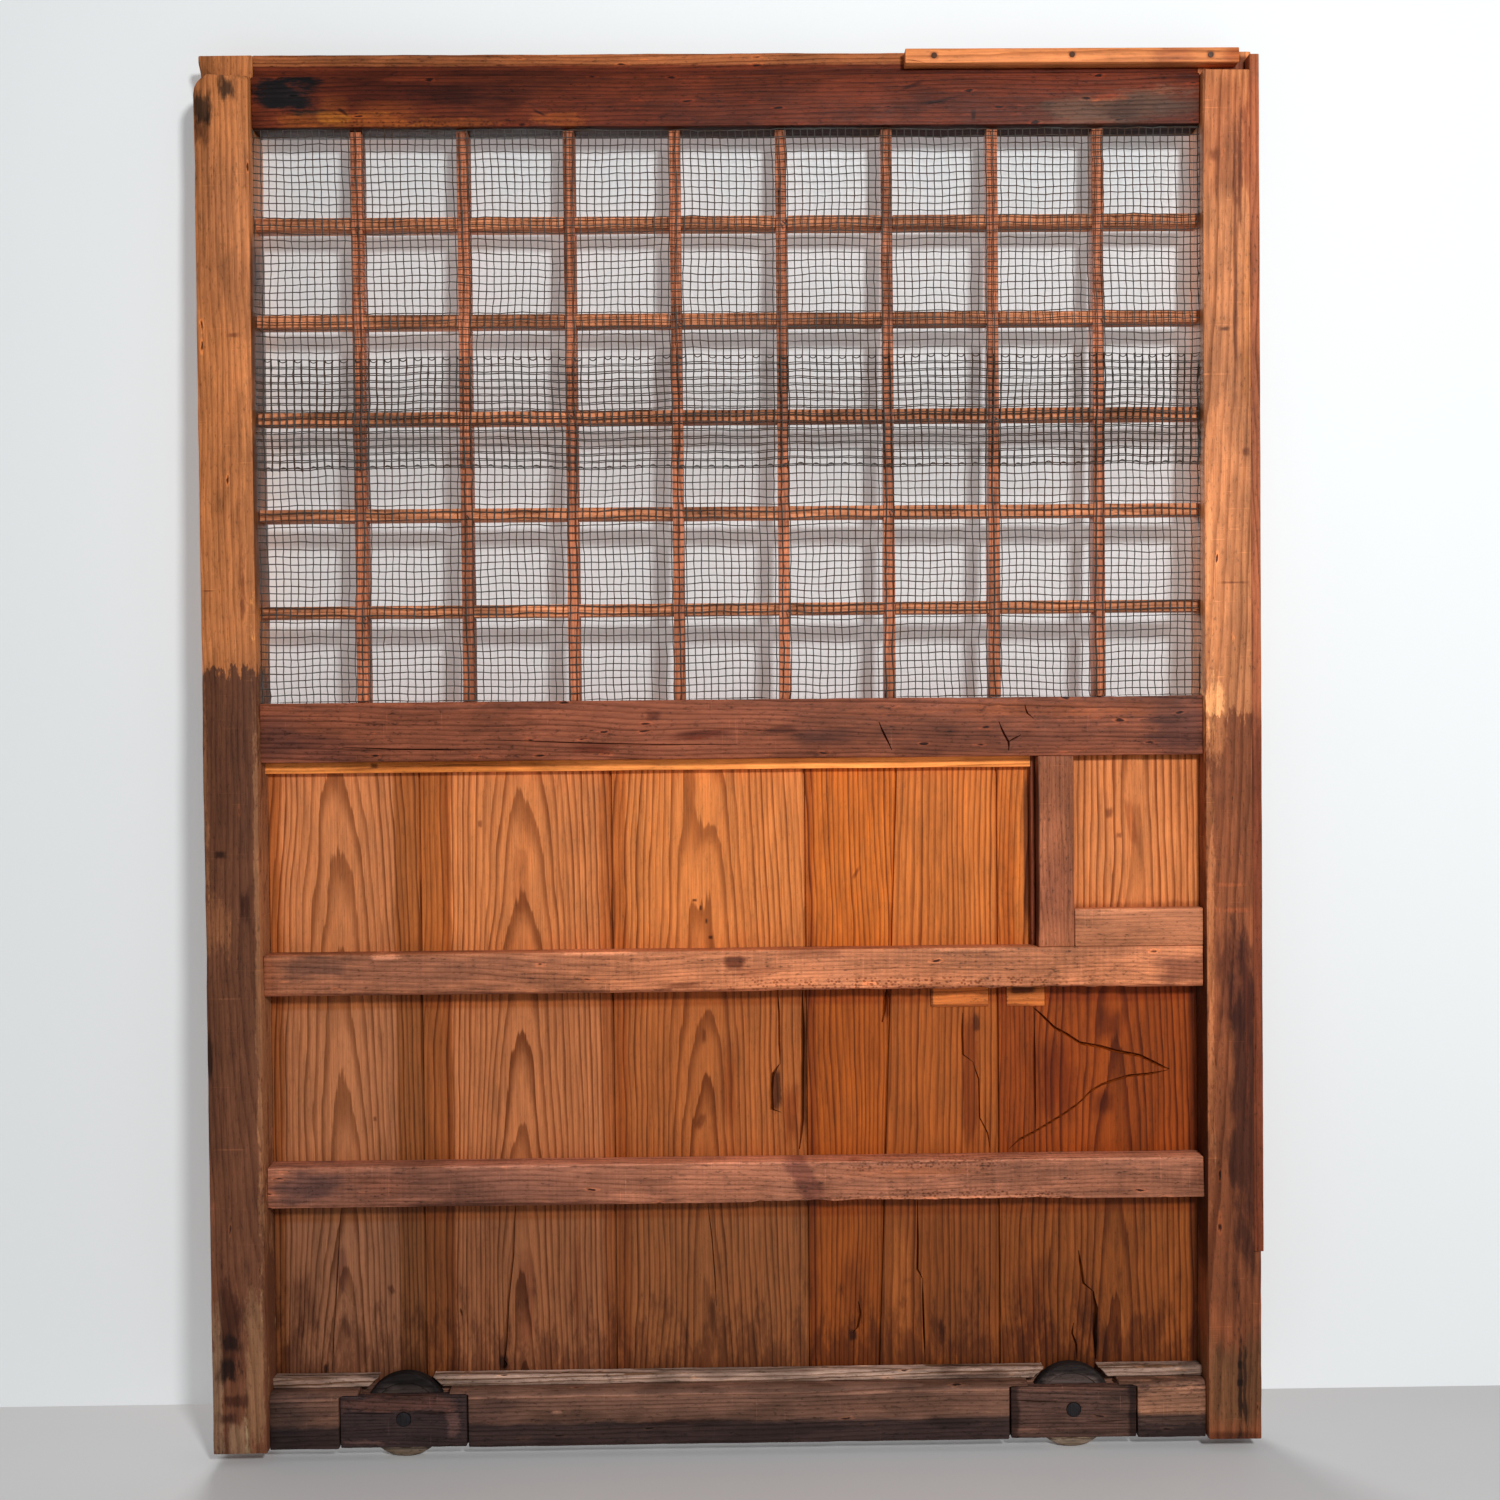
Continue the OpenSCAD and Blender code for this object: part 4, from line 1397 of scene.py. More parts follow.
    def tie(self) -> Object:
        """Twist two strands round each other, standing out of the net at the door's middle."""
        strands = []
        base, lean = Vector((0, self.upper_depth - HALF_DEPTH, 0)), Vector(self.tie_lean)
        for start in (0.0, math.pi):
            angles = [start + self.tie_twist * number for number in range(self.tie_steps + 1)]
            spots = [
                (base + Vector((math.cos(a), 0, math.sin(a))) * self.tie_r + lean * number) * MM
                for number, a in enumerate(angles)
            ]
            bpy.ops.object.select_all(action="DESELECT")
            bpy.ops.mesh.primitive_circle_add(
                vertices=5,
                radius=self.tie_wire * MM,
                location=spots[0],
                rotation=(math.pi / 2, 0, 0),
            )
            strand = Bench.fresh("tie_strand")
            with Bench.edit(strand):
                for here, there in zip(spots, spots[1:], strict=False):
                    bpy.ops.mesh.extrude_region_move(TRANSFORM_OT_translate={"value": there - here})
                bpy.ops.mesh.select_all(action="SELECT")
                bpy.ops.mesh.fill_holes(sides=5)
            strands.append(strand)
        Bench.join(strands[0], strands[1:])
        return strands[0]


# ---------------------------------------------------------------- boards


@dataclass
class BoardField(Assembly):
    """Six lapped boards, two battens, two patches and the bead under the rail."""

    edges: tuple[float, ...] = (-597.0, -404.0, -159.0, 89.0, 208.0, 336.0, 594.0)
    slant: float = -29.0  # how far the fourth joint leans over to the foot
    lap: float = 8.0
    gap: float = 2.6
    face: float = 41.0
    half: float = 46.0
    back: float = 51.0
    low: float = 80.2
    high: float = 894.8
    cuts: tuple[int, int] = (34, 5)  # up and across, that let a board be uneven
    battens: tuple[tuple[float, float], ...] = ((592.0, 644.0), (323.0, 375.0))
    batten_depth: tuple[float, float] = (12.0, 40.8)
    patches: tuple[Stock, ...] = (
        Stock(250, 324, 40.6, 45, 564, 591.8),
        Stock(348, 397, 40.7, 45, 564, 591.8),
    )
    bead: Stock = Stock(-596.8, 378, 29, 40.8, 873, 886.8)

    def build(self) -> None:
        """Build and dress every piece of the field."""
        for number in range(6):
            self.board(number)
        self.nail_battens()
        for stock, side in zip(self.patches, ("left", "right"), strict=True):
            patch = Bench.saw(f"inlay_{side}", stock)
            Bench.divide(patch, Axis.X, 8)
            Bench.ease(patch, 0.5 * MM)
            Bench.weather(patch, 0.4 * MM, 0.02)
            self.keep(patch, PATCH_WOOD, "new_wood", f"patch_strip_{side}")
        bead = Bench.saw("bead_under_rail", self.bead)
        Bench.divide(bead, Axis.X, 60)
        Bench.ease(bead, 0.9 * MM)
        Bench.weather(bead, 0.7 * MM, 0.08)
        self.keep(bead, BEAD_PINE, "new_wood", "top_bead")

    def layer(self, number: int, near: float, far: float, over: float) -> Object:
        """Saw one half of a board's thickness.

        Args:
            number: Which board, from 0.
            near: Front depth in mm.
            far: Rear depth in mm.
            over: How far it is shifted under the next board in mm.

        Returns:
            The half board.
        """
        gap = 0.4 if over else self.gap / 2
        left = self.edges[number] + (over + gap if number else 0.2)
        right = self.edges[number + 1] + (over - gap if number < 5 else -0.2)
        obj = Bench.saw("board_layer", Stock(left, right, near, far, self.low, self.high))
        middle = (left + right) / 2 * MM
        for slanted, side in ((3, 1), (4, -1)):
            if number == slanted:
                Bench.shift(
                    obj,
                    lambda v, side=side: (v.co.x - middle) * side > 0 and v.co.z < 0.5,
                    Vector((self.slant * MM, 0, 0)),
                )
        return obj

    def board(self, number: int) -> None:
        """Build and dress one board with its laps, cracks and patch pockets."""
        obj = self.layer(number, self.face, self.half + 0.1, 0.0)
        Bench.fuse(obj, self.layer(number, self.half, self.back, self.lap))
        obj.name = obj.data.name = f"field_board_{number + 1}"
        tall, wide = self.cuts
        rise = (self.high - self.low) / tall
        Bench.slice(obj, Axis.Z, *((self.low + rise * n) * MM for n in range(1, tall)))
        left, right = self.edges[number], self.edges[number + 1]
        Bench.slice(obj, Axis.X, *((left + (right - left) * n / wide) * MM for n in range(1, wide)))
        for stock in self.patches:
            if stock.x0 < right and stock.x1 > left:
                Bench.carve(obj, Bench.saw("pocket", stock.grown(0.2, 0.6, 0.2)))
        Bench.ease(obj, 0.7 * MM, 1)
        Bench.weather(obj, 0.9 * MM, 0.12)
        for crack in BOARD_CRACKS.get(number + 1, ()):
            Bench.carve(obj, crack.cutter(self.face))
        self.keep(obj, BOARDS[number], "board_wood", f"panel_board_{number + 1}")

    def nail_battens(self) -> None:
        """Build and dress the two battens with their eaten edges."""
        for (low, high), name in zip(self.battens, ("upper", "lower"), strict=True):
            stock = Stock(-596.8, 593.8, *self.batten_depth, low, high)
            obj = Bench.saw(f"batten_{name}", stock)
            Bench.divide(obj, Axis.X, 260)
            Bench.ease(obj, 1.3 * MM, 2)
            Bench.weather(obj, 0.8 * MM, 0.03)
            Bench.weather(obj, 1.2 * MM, 0.15)
            if name == "upper":
                Bench.gnaw(obj, stock.front_arris(False, 40, 490), 5 * MM, 0.010)
            else:
                Bench.gnaw(obj, stock.front_arris(False, 20, 440), 6 * MM, 0.012)
                Bench.gnaw(obj, stock.front_arris(True), 4 * MM, 0.03)
            self.keep(obj, BATTENS[name], "batten_wood", f"{name}_batten")


BOARD_CRACKS = {
    1: (Crack(((-511, 312), (-515, 260), (-519, 200), (-523, 150), (-525, 103)), 5.0, 6),),
    2: (
        Crack(((-287, 316), (-291, 250), (-298, 190), (-301, 140), (-305, 103)), 7.5, 7),
        Crack(((-359, 182), (-359, 178), (-358, 172)), 7.0, 6),
        Crack(((-304, 116), (-302, 109), (-304, 103)), 11.0, 7),
    ),
    3: (
        Crack(((53, 589), (54, 560), (54, 520), (55, 492)), 7.0, 7),
        Crack(((54, 492), (45, 478), (43, 455), (44, 434), (56, 430)), 13.0, 7),
        Crack(((85, 589), (85, 540), (84, 480), (83, 420), (79, 382)), 10.0, 8),
        Crack(((-40, 316), (-35, 270), (-32, 225), (-30, 180)), 4.0, 5),
    ),
    4: (
        Crack(((194, 590), (191, 570), (187, 545)), 13.0, 6),
        Crack(((146, 143), (152, 150), (156, 168), (153, 184)), 7.0, 6),
    ),
    5: (
        Crack(((231, 316), (231, 260), (230, 224), (236, 213)), 7.5, 7),
        Crack(((237, 213), (237, 180), (238, 140), (239, 103)), 6.0, 7),
        Crack(((291, 556), (290, 528), (291, 502), (304, 492)), 6.0, 5),
        Crack(((304, 492), (311, 470), (312, 420), (322, 400), (325, 380)), 5.0, 5),
    ),
    6: (
        Crack(
            (
                (382, 562), (397, 548), (410, 535), (425, 527), (443, 515), (470, 510), (490, 504),
                (520, 498), (540, 488), (558, 480),
            ),
            10.0, 9, Axis.X,
        ),
        Crack(
            (
                (350, 379), (363, 391), (383, 401), (400, 411), (420, 423), (440, 437), (455, 452),
                (470, 461), (488, 467), (505, 472), (530, 474), (556, 479),
            ),
            7.5, 8, Axis.X,
        ),
        Crack(((383, 560), (384, 500), (384, 450), (384, 404)), 5.0, 6),
        Crack(((439, 246), (442, 225), (445, 203), (458, 192)), 9.0, 7),
        Crack(((458, 193), (461, 170), (459, 140), (460, 104)), 13.0, 8),
        Crack(((432, 152), (430, 138), (435, 124), (436, 104)), 7.0, 6),
    ),
}


@dataclass
class LockBox(Assembly):
    """Post, rail, panel and thin lath of the box over the lock."""

    post: Stock = Stock(384, 430, 12, 40.8, 644.2, 886.8)
    rail: Stock = Stock(430.2, 593.8, 12, 40.8, 644.2, 692)
    panel: Stock = Stock(424.2, 593.8, 28, 38, 686.2, 886.8)
    lath: Stock = Stock(378.2, 383.1, 29, 40.8, 644.2, 886.8)

    def build(self) -> None:
        """Build and dress every piece of the box."""
        groove = self.panel.grown(0.2, 0.2, 0.2)
        for name, stock, axis, cuts, arris, finish, slot in (
            ("post", self.post, Axis.Z, 24, 1.6, POST_WOOD, "lock_wood"),
            ("rail", self.rail, Axis.X, 20, 1.6, LOCK_RAIL_WOOD, "lock_wood"),
            ("panel", self.panel, Axis.Z, 14, 0.6, LOCK_PANEL_WOOD, "board_wood"),
            ("lath", self.lath, Axis.Z, 24, 0.6, LATH_WOOD, "lock_wood"),
        ):
            obj = Bench.saw(f"box_{name}", stock)
            Bench.divide(obj, axis, cuts)
            if name in ("post", "rail"):
                Bench.carve(obj, Bench.saw("groove", groove))
            Bench.ease(obj, arris * MM)
            Bench.weather(obj, 0.8 * MM, 0.05)
            self.keep(obj, finish, slot, f"lock_{name}")


# ---------------------------------------------------------------- running gear


@dataclass
class RunningGear(Assembly):
    """Wheels, axles, their blocks and the strips on the bottom rail."""

    wheel_at: tuple[float, float] = WHEELS_AT
    axle_z: float = AXLE_Z
    radius: float = 53.0
    wheel_depth: tuple[float, float] = (22.0, 37.0)
    rim: float = 11.0
    hub: float = 20.0
    bore: float = 9.05
    sunk: float = 2.0
    axle: float = 9.0
    axle_depth: tuple[float, float] = (9.4, 50.0)
    block: tuple[float, float, float, float] = (80.0, 10.0, 21.0, 17.0)
    block_rise: float = 66.0
    sill: Stock = Stock(-596.8, 593.8, 25, 40.8, 88.2, 101)
    sill_clear: float = 59.0

    def build(self) -> None:
        """Build and dress every piece of the running gear."""
        for middle, side in zip(self.wheel_at, ("left", "right"), strict=True):
            self.wheel(middle, side)
            self.peg(middle, side)
            self.cover(middle, side)
        self.sills()

    def wheel(self, middle: float, side: str) -> None:
        """Turn one wheel with a sunk web between rim and hub."""
        near, far = (point(middle, depth, self.axle_z) for depth in self.wheel_depth)
        obj = Bench.rod(f"roller_{side}", self.radius * MM, near, far, 96)
        for sign in (-1, 1):
            with Bench.edit(obj):
                Bench.mark(obj, Pick.FACE, lambda f: f.normal.y * sign > 0.9)
                bpy.ops.mesh.inset(thickness=self.rim * MM)
                bpy.ops.mesh.inset(thickness=1.5 * MM, depth=-self.sunk * MM)
                bpy.ops.mesh.inset(thickness=(self.radius - self.rim - 1.5 - self.hub - 1.5) * MM)
                bpy.ops.mesh.inset(thickness=1.5 * MM, depth=self.sunk * MM)
        hole = Bench.rod(
            "bore", self.bore * MM, near - Vector((0, 0.01, 0)), far + Vector((0, 0.01, 0))
        )
        Bench.carve(obj, hole)
        rim = (self.radius - 0.5) * MM
        centre = point(middle, 0, self.axle_z)
        Bench.round_off(
            obj,
            lambda e: all(math.hypot(v.co.x - centre.x, v.co.z - centre.z) > rim for v in e.verts)
            and abs(e.verts[0].co.y - e.verts[1].co.y) < 1e-5,
            2.2 * MM,
            3,
        )
        Bench.weather(obj, 0.5 * MM, 0.02)
        self.keep(obj, WHEEL_WOOD, "wheel_wood", f"{side}_wheel", body=f"{side}_wheel")

    def peg(self, middle: float, side: str) -> None:
        """Turn one axle with eased ends."""
        near, far = (point(middle, depth, self.axle_z) for depth in self.axle_depth)
        obj = Bench.rod(f"axle_peg_{side}", (self.axle - 0.05) * MM, near, far, 32)
        with Bench.edit(obj):
            Bench.mark(obj, Pick.FACE, lambda f: abs(f.normal.y) > 0.9)
            bpy.ops.mesh.inset(thickness=1.2 * MM, depth=0.5 * MM)
        self.keep(obj, AXLE_WOOD, "axle_wood", f"{side}_axle")

    def cover(self, middle: float, side: str) -> None:
        """Cut one block over a wheel, with its axle hole and cracks."""
        half, near, far, low = self.block
        stock = Stock(middle - half, middle + half, near, far, low, low + self.block_rise)
        obj = Bench.saw(f"axle_block_{side}", stock)
        Bench.divide(obj, Axis.X, 24)
        ends = (point(middle, depth, self.axle_z) for depth in (-5, 60))
        Bench.carve(obj, Bench.rod("bore", (self.axle + 0.1) * MM, *ends))
        Bench.ease(obj, 1.8 * MM, 2)
        Bench.weather(obj, 1.2 * MM, 0.02)
        for path in BLOCK_CRACKS[side]:
            Bench.carve(obj, Crack(path, 6.0, 6, Axis.X).cutter(near))
        self.keep(obj, BLOCKS[side], "block_wood", f"{side}_wheel_block")

    def sills(self) -> None:
        """Cut the three weathered strips, hollowed round the wheels."""
        left, right = self.wheel_at
        ends = (
            (self.sill.x0, left, "left"), (left, right, "middle"), (right, self.sill.x1, "right"),
        )
        for start, end, name in ends:
            stock = Stock(start, end, self.sill.d0, self.sill.d1, self.sill.z0, self.sill.z1)
            obj = Bench.saw(f"sill_{name}", stock)
            Bench.divide(obj, Axis.X, max(8, round((end - start) / 12)))
            for middle in self.wheel_at:
                through = (point(middle, depth, self.axle_z) for depth in (0, 60))
                Bench.carve(obj, Bench.rod("clearance", self.sill_clear * MM, *through, 96))
            Bench.ease(obj, 1.0 * MM, 1)
            Bench.weather(obj, 1.6 * MM, 0.018)
            self.keep(obj, SILL_WOOD, "sill_wood", f"sill_strip_{name}")


BLOCK_CRACKS = {
    "left": (((-504, 62), (-470, 61), (-440, 61)), ((-416, 61), (-390, 60), (-352, 61))),
    "right": (((352, 66), (375, 64), (404, 65)), ((440, 38), (462, 37), (492, 39))),
}


@dataclass
class Nails(Assembly):
    """Forged nails: head strip in front, boards behind."""

    head: float = 3.6
    rise: float = 1.0
    strip: tuple[tuple[float, float], ...] = ((258.0, 1764.0), (431.0, 1764.5), (605.0, 1763.5))
    board_in: float = 45.0

    def build(self, boards: BoardField) -> None:
        """Set every nail, those of the boards from behind."""
        self.set_at(self.model("nails_front", -1), [point(x, 2.0, z) for x, z in self.strip])
        rear = self.model("nails_rear", 1)
        spots = []
        for left, right in zip(boards.edges, boards.edges[1:], strict=False):
            inset = min(self.board_in, (right - left) / 4)
            for x in (left + inset, right - inset):
                for low, high in boards.battens:
                    spots += [point(x, boards.back, (low + high) / 2 + 9 * math.sin(x))]
        self.set_at(rear, spots)

    def model(self, name: str, sign: int) -> Object:
        """Forge one nail head at the origin, facing the front (-1) or the back (1)."""
        start, end = Vector((0, -sign * 2.0, 0)) * MM, Vector((0, sign * self.rise, 0)) * MM
        obj = Bench.rod(name, self.head * MM, start, end, 10)
        with Bench.edit(obj):
            Bench.mark(obj, Pick.FACE, lambda f: f.normal.y * sign > 0.9)
            bpy.ops.mesh.inset(thickness=1.1 * MM, depth=0.35 * MM)
        return obj

    def set_at(self, model: Object, spots: list[Vector]) -> None:
        """Copy a head to each place and dress them as one piece."""
        heads = [Bench.copy(model, "nail", spot) for spot in spots]
        name = model.name
        bpy.data.objects.remove(model)
        Bench.join(heads[0], heads[1:])
        heads[0].name = heads[0].data.name = name
        self.keep(heads[0], NAIL_IRON, "mesh_wire")


# ---------------------------------------------------------------- finishes

UP, SIDE = Grain.UPRIGHT, Grain.ACROSS
EVER = 9000.0  # mm, a tint or painted shade that runs the whole length
FRONT_ONLY = 49.0  # mm behind the stile fronts, just short of the boards' backs
INK: Colour = (0.10, 0.13, 0.20)
# Near-black tint for real soot, cracks and dirt, also used as painted shade in gaps, slots and
# undersides.
SOOT_AND_SHADE: Colour = (0.22, 0.19, 0.20)
UMBER: Colour = (0.42, 0.34, 0.32)
DIM: Colour = (0.66, 0.60, 0.58)
TAN: Colour = (2.2, 2.6, 2.4)
OLIVE: Colour = (1.8, 2.7, 3.1)
PALE: Colour = (1.4, 1.45, 1.45)

STILE_LEFT_STAINS_AND_SHADE = (
    StainOrPaintedLight(-630, 1560, 60, 170, (0.86, 0.9, 1.05), 0.8, 0.9, 0.6),
    StainOrPaintedLight(-630, -4000, EVER, 5008, (0.30, 0.31, 0.46), 1.0, 0.0015, 0.02),
    StainOrPaintedLight(-655, 1704, 18, 28, INK, 0.95, 0.7, 2.0),
    StainOrPaintedLight(-656, 1672, 11, 22, SOOT_AND_SHADE, 0.85, 0.8, 2.2),
    StainOrPaintedLight(-622, 1727, 15, 22, INK, 0.95, 0.7, 2.0),
    StainOrPaintedLight(-610, 1600, 4, 145, PALE, 0.8, 0.8, 2.0),
    StainOrPaintedLight(-607, 1250, 4, 260, PALE, 0.7, 0.8, 2.0),
    StainOrPaintedLight(-611, 1110, 4, 65, UMBER, 0.9, 0.7, 3.0),
    StainOrPaintedLight(-620, 1421, 9, 4, UMBER, 0.85, 0.8, 2.0),
    StainOrPaintedLight(-654, 1103, 9, 1.6, UMBER, 0.8, 0.8, 1.0),
    StainOrPaintedLight(-599, 620, 5, 385, TAN, 0.95, 0.5, 2.4),
    StainOrPaintedLight(-650, 682, 22, 38, (1.9, 2.0, 1.7), 0.8, 0.6, 2.2),
    StainOrPaintedLight(-662, 850, 4, 160, TAN, 0.7, 0.7, 2.5),
    StainOrPaintedLight(-645, 773, 10, 7, SOOT_AND_SHADE, 0.95, 0.7, 0.8),
    StainOrPaintedLight(-616, 712, 8, 26, UMBER, 0.9, 0.7, 2.2),
    StainOrPaintedLight(-662, 515, 6, 42, SOOT_AND_SHADE, 0.9, 0.7, 2.0),
    StainOrPaintedLight(-640, 592, 26, 1.4, (1.7, 1.7, 1.6), 0.7, 0.8, 2.0),
    StainOrPaintedLight(-636, 402, 28, 1.4, (1.7, 1.7, 1.6), 0.7, 0.8, 2.0),
    StainOrPaintedLight(-610, 120, 13, 118, (1.6, 2.1, 2.1), 0.95, 0.4, 1.6),
    StainOrPaintedLight(-658, 110, 9, 104, OLIVE, 0.9, 0.5, 2.0),
    StainOrPaintedLight(-635, 34, 14, 28, OLIVE, 0.95, 0.5, 1.6),
    StainOrPaintedLight(-641, 170, 15, 90, UMBER, 0.95, 0.5, 1.8),
    StainOrPaintedLight(-640, 158, 17, 14, SOOT_AND_SHADE, 0.9, 0.6, 1.8),
    StainOrPaintedLight(-644, 122, 18, 20, SOOT_AND_SHADE, 0.95, 0.6, 1.8),
    StainOrPaintedLight(-636, 84, 20, 10, UMBER, 0.95, 0.6, 1.8),
    StainOrPaintedLight(-646, 62, 16, 9, SOOT_AND_SHADE, 0.8, 0.7, 1.8),
    # Painted shade on the stile's inner side face beside the lattice opening.
    StainOrPaintedLight(-580, 1320, 18.2, 362, SOOT_AND_SHADE, 0.95, 0.06, 0.02),
)
STILE_RIGHT_STAINS_AND_SHADE = (
    StainOrPaintedLight(628, 1670, 60, 110, (0.74, 0.64, 0.62), 0.95, 0.7, 0.8),
    StainOrPaintedLight(628, -4000, EVER, 4940, (0.44, 0.35, 0.34), 1.0, 0.002, 0.02),
    StainOrPaintedLight(606, 930, 15, 62, (2.1, 2.5, 2.5), 0.9, 0.5, 1.6),
    StainOrPaintedLight(599, 640, 6, 330, (1.9, 2.2, 2.2), 0.9, 0.6, 2.4),
    # Painted shade on the stile's inner side face beside the boards.
    StainOrPaintedLight(576, 490, 19.4, 400, SOOT_AND_SHADE, 0.95, 0.06, 0.02),
    StainOrPaintedLight(641, 450, 22, 260, (0.34, 0.31, 0.40), 0.95, 0.5, 1.4),
    StainOrPaintedLight(632, 600, 30, 90, (0.55, 0.5, 0.58), 0.9, 0.6, 1.6),
    StainOrPaintedLight(632, 690, 30, 4, (1.6, 1.4, 1.3), 0.8, 0.8, 2.8),
    StainOrPaintedLight(626, 722, 30, 3, (1.5, 1.4, 1.3), 0.8, 0.8, 2.8),
    StainOrPaintedLight(645, 540, 3, 140, (2.0, 1.7, 1.4), 0.8, 0.8, 2.0),
    StainOrPaintedLight(628, 84, 60, 80, (0.66, 0.92, 1.0), 0.9, 0.6, 1.2),
    StainOrPaintedLight(634, 100, 4, 90, SOOT_AND_SHADE, 0.95, 0.6, 2.6),
    StainOrPaintedLight(640, 80, 3.4, 66, SOOT_AND_SHADE, 0.95, 0.6, 2.6),
    StainOrPaintedLight(634, 112, 5, 8, SOOT_AND_SHADE, 0.9, 0.6, 1.2),
    StainOrPaintedLight(634, 89, 5, 6, SOOT_AND_SHADE, 0.9, 0.6, 1.2),
    StainOrPaintedLight(628, 20, 60, 10, UMBER, 0.9, 0.7, 1.0),
    StainOrPaintedLight(607, 1638, 10, 14, UMBER, 0.85, 0.8, 2.0),
    StainOrPaintedLight(634, 1500, 3.0, 250, UMBER, 0.95, 0.7, 1.4),
    StainOrPaintedLight(641, 1615, 4.0, 85, UMBER, 0.95, 0.7, 2.2),
    StainOrPaintedLight(650, 1650, 9, 110, (0.7, 0.55, 0.5), 0.85, 0.8, 2.0),
    StainOrPaintedLight(655, 1668, 5, 10, SOOT_AND_SHADE, 0.9, 0.6, 1.5),
    StainOrPaintedLight(620, 1421, 9, 4, SOOT_AND_SHADE, 0.9, 0.7, 1.5),
    StainOrPaintedLight(646, 1267, 6, 6, UMBER, 0.85, 0.8, 1.5),
    StainOrPaintedLight(630, 1103, 22, 2, UMBER, 0.85, 0.8, 1.5),
    StainOrPaintedLight(600, 1130, 6, 130, PALE, 0.85, 0.7, 2.4),
    StainOrPaintedLight(650, 1420, 10, 130, (1.1, 1.0, 0.75), 0.8, 0.8, 1.5),
    StainOrPaintedLight(640, 1758, 60, 14, (0.34, 0.25, 0.24), 0.95, 0.4, 0.8),
)
STILES = {
    "left": Timber(
        "stile_left_wood", screen(184, 113, 65), UP, ring=4.5, pith=(-560, 130), lean=0.02,
        contrast=0.6, gouges=0.06, blotch=0.2, scratch=0.3, fleck=0.35,
        stains_and_painted_light=STILE_LEFT_STAINS_AND_SHADE,
    ),
    "right": Timber(
        "stile_right_wood", screen(201, 127, 80), UP, ring=5.5, pith=(560, 120), lean=0.03,
        contrast=0.8, gouges=0.08, blotch=0.25, scratch=0.4, fleck=0.4,
        stains_and_painted_light=STILE_RIGHT_STAINS_AND_SHADE,
    ),
}
RAIL_TOP_STAINS_AND_SHADE = (
    StainOrPaintedLight(-400, 1722, 220, 28, (0.45, 0.38, 0.42), 0.95, 0.8, 1.6),
    StainOrPaintedLight(-552, 1722, 48, 25, (0.07, 0.30, 1.1), 1.0, 0.5, 1.7),
    StainOrPaintedLight(-480, 1690, 114, 12, (2.2, 3.0, 1.7), 0.95, 0.5, 1.4),
    StainOrPaintedLight(-493, 1704, 22, 24, (1.5, 1.9, 1.3), 0.95, 0.4, 1.2),
    StainOrPaintedLight(-340, 1686, 70, 8, (2.1, 2.7, 1.6), 0.9, 0.6, 1.7),
    StainOrPaintedLight(-425, 1707, 46, 13, (1.7, 2.1, 1.4), 0.9, 0.6, 1.7),
    StainOrPaintedLight(-482, 1701, 10, 2.5, SOOT_AND_SHADE, 0.95, 0.6, 1.2, -35),
    StainOrPaintedLight(-215, 1691, 42, 10, (2.1, 2.6, 1.6), 0.9, 0.6, 1.7),
    StainOrPaintedLight(-237, 1699, 13, 2.4, SOOT_AND_SHADE, 0.95, 0.7, 1.0, -25),
    StainOrPaintedLight(490, 1703, 118, 25, (0.95, 2.5, 4.6), 0.9, 0.5, 1.2, 7),
    StainOrPaintedLight(500, 1698, 30, 13, DIM, 0.85, 0.7, 1.2),
    StainOrPaintedLight(545, 1722, 24, 11, (1.5, 1.4, 1.3), 0.75, 0.8, 1.6),
    StainOrPaintedLight(478, 1715, 32, 7, (2.4, 1.3, 0.7), 0.9, 0.6, 1.8, 6),
    StainOrPaintedLight(582, 1738, 26, 9, UMBER, 0.9, 0.7, 1.0),
    StainOrPaintedLight(265, 1711, 36, 3.2, SOOT_AND_SHADE, 0.9, 0.7, 1.6, 10),
    StainOrPaintedLight(230, 1730, 17, 4, SOOT_AND_SHADE, 0.9, 0.7, 1.6, 12),
    StainOrPaintedLight(308, 1692, 4, 9, SOOT_AND_SHADE, 0.9, 0.7, 1.6),
    # Painted shade on the rail's underside over the lattice opening.
    StainOrPaintedLight(0, 1660, EVER, 22.4, SOOT_AND_SHADE, 0.95, 0.05, 0.0),
    StainOrPaintedLight(0, 1751, EVER, 7, DIM, 0.95, 0.6, 0.8),
    StainOrPaintedLight(0, 1769, EVER, 9, (2.6, 4.6, 4.6), 0.95, 0.4, 0.5),
)
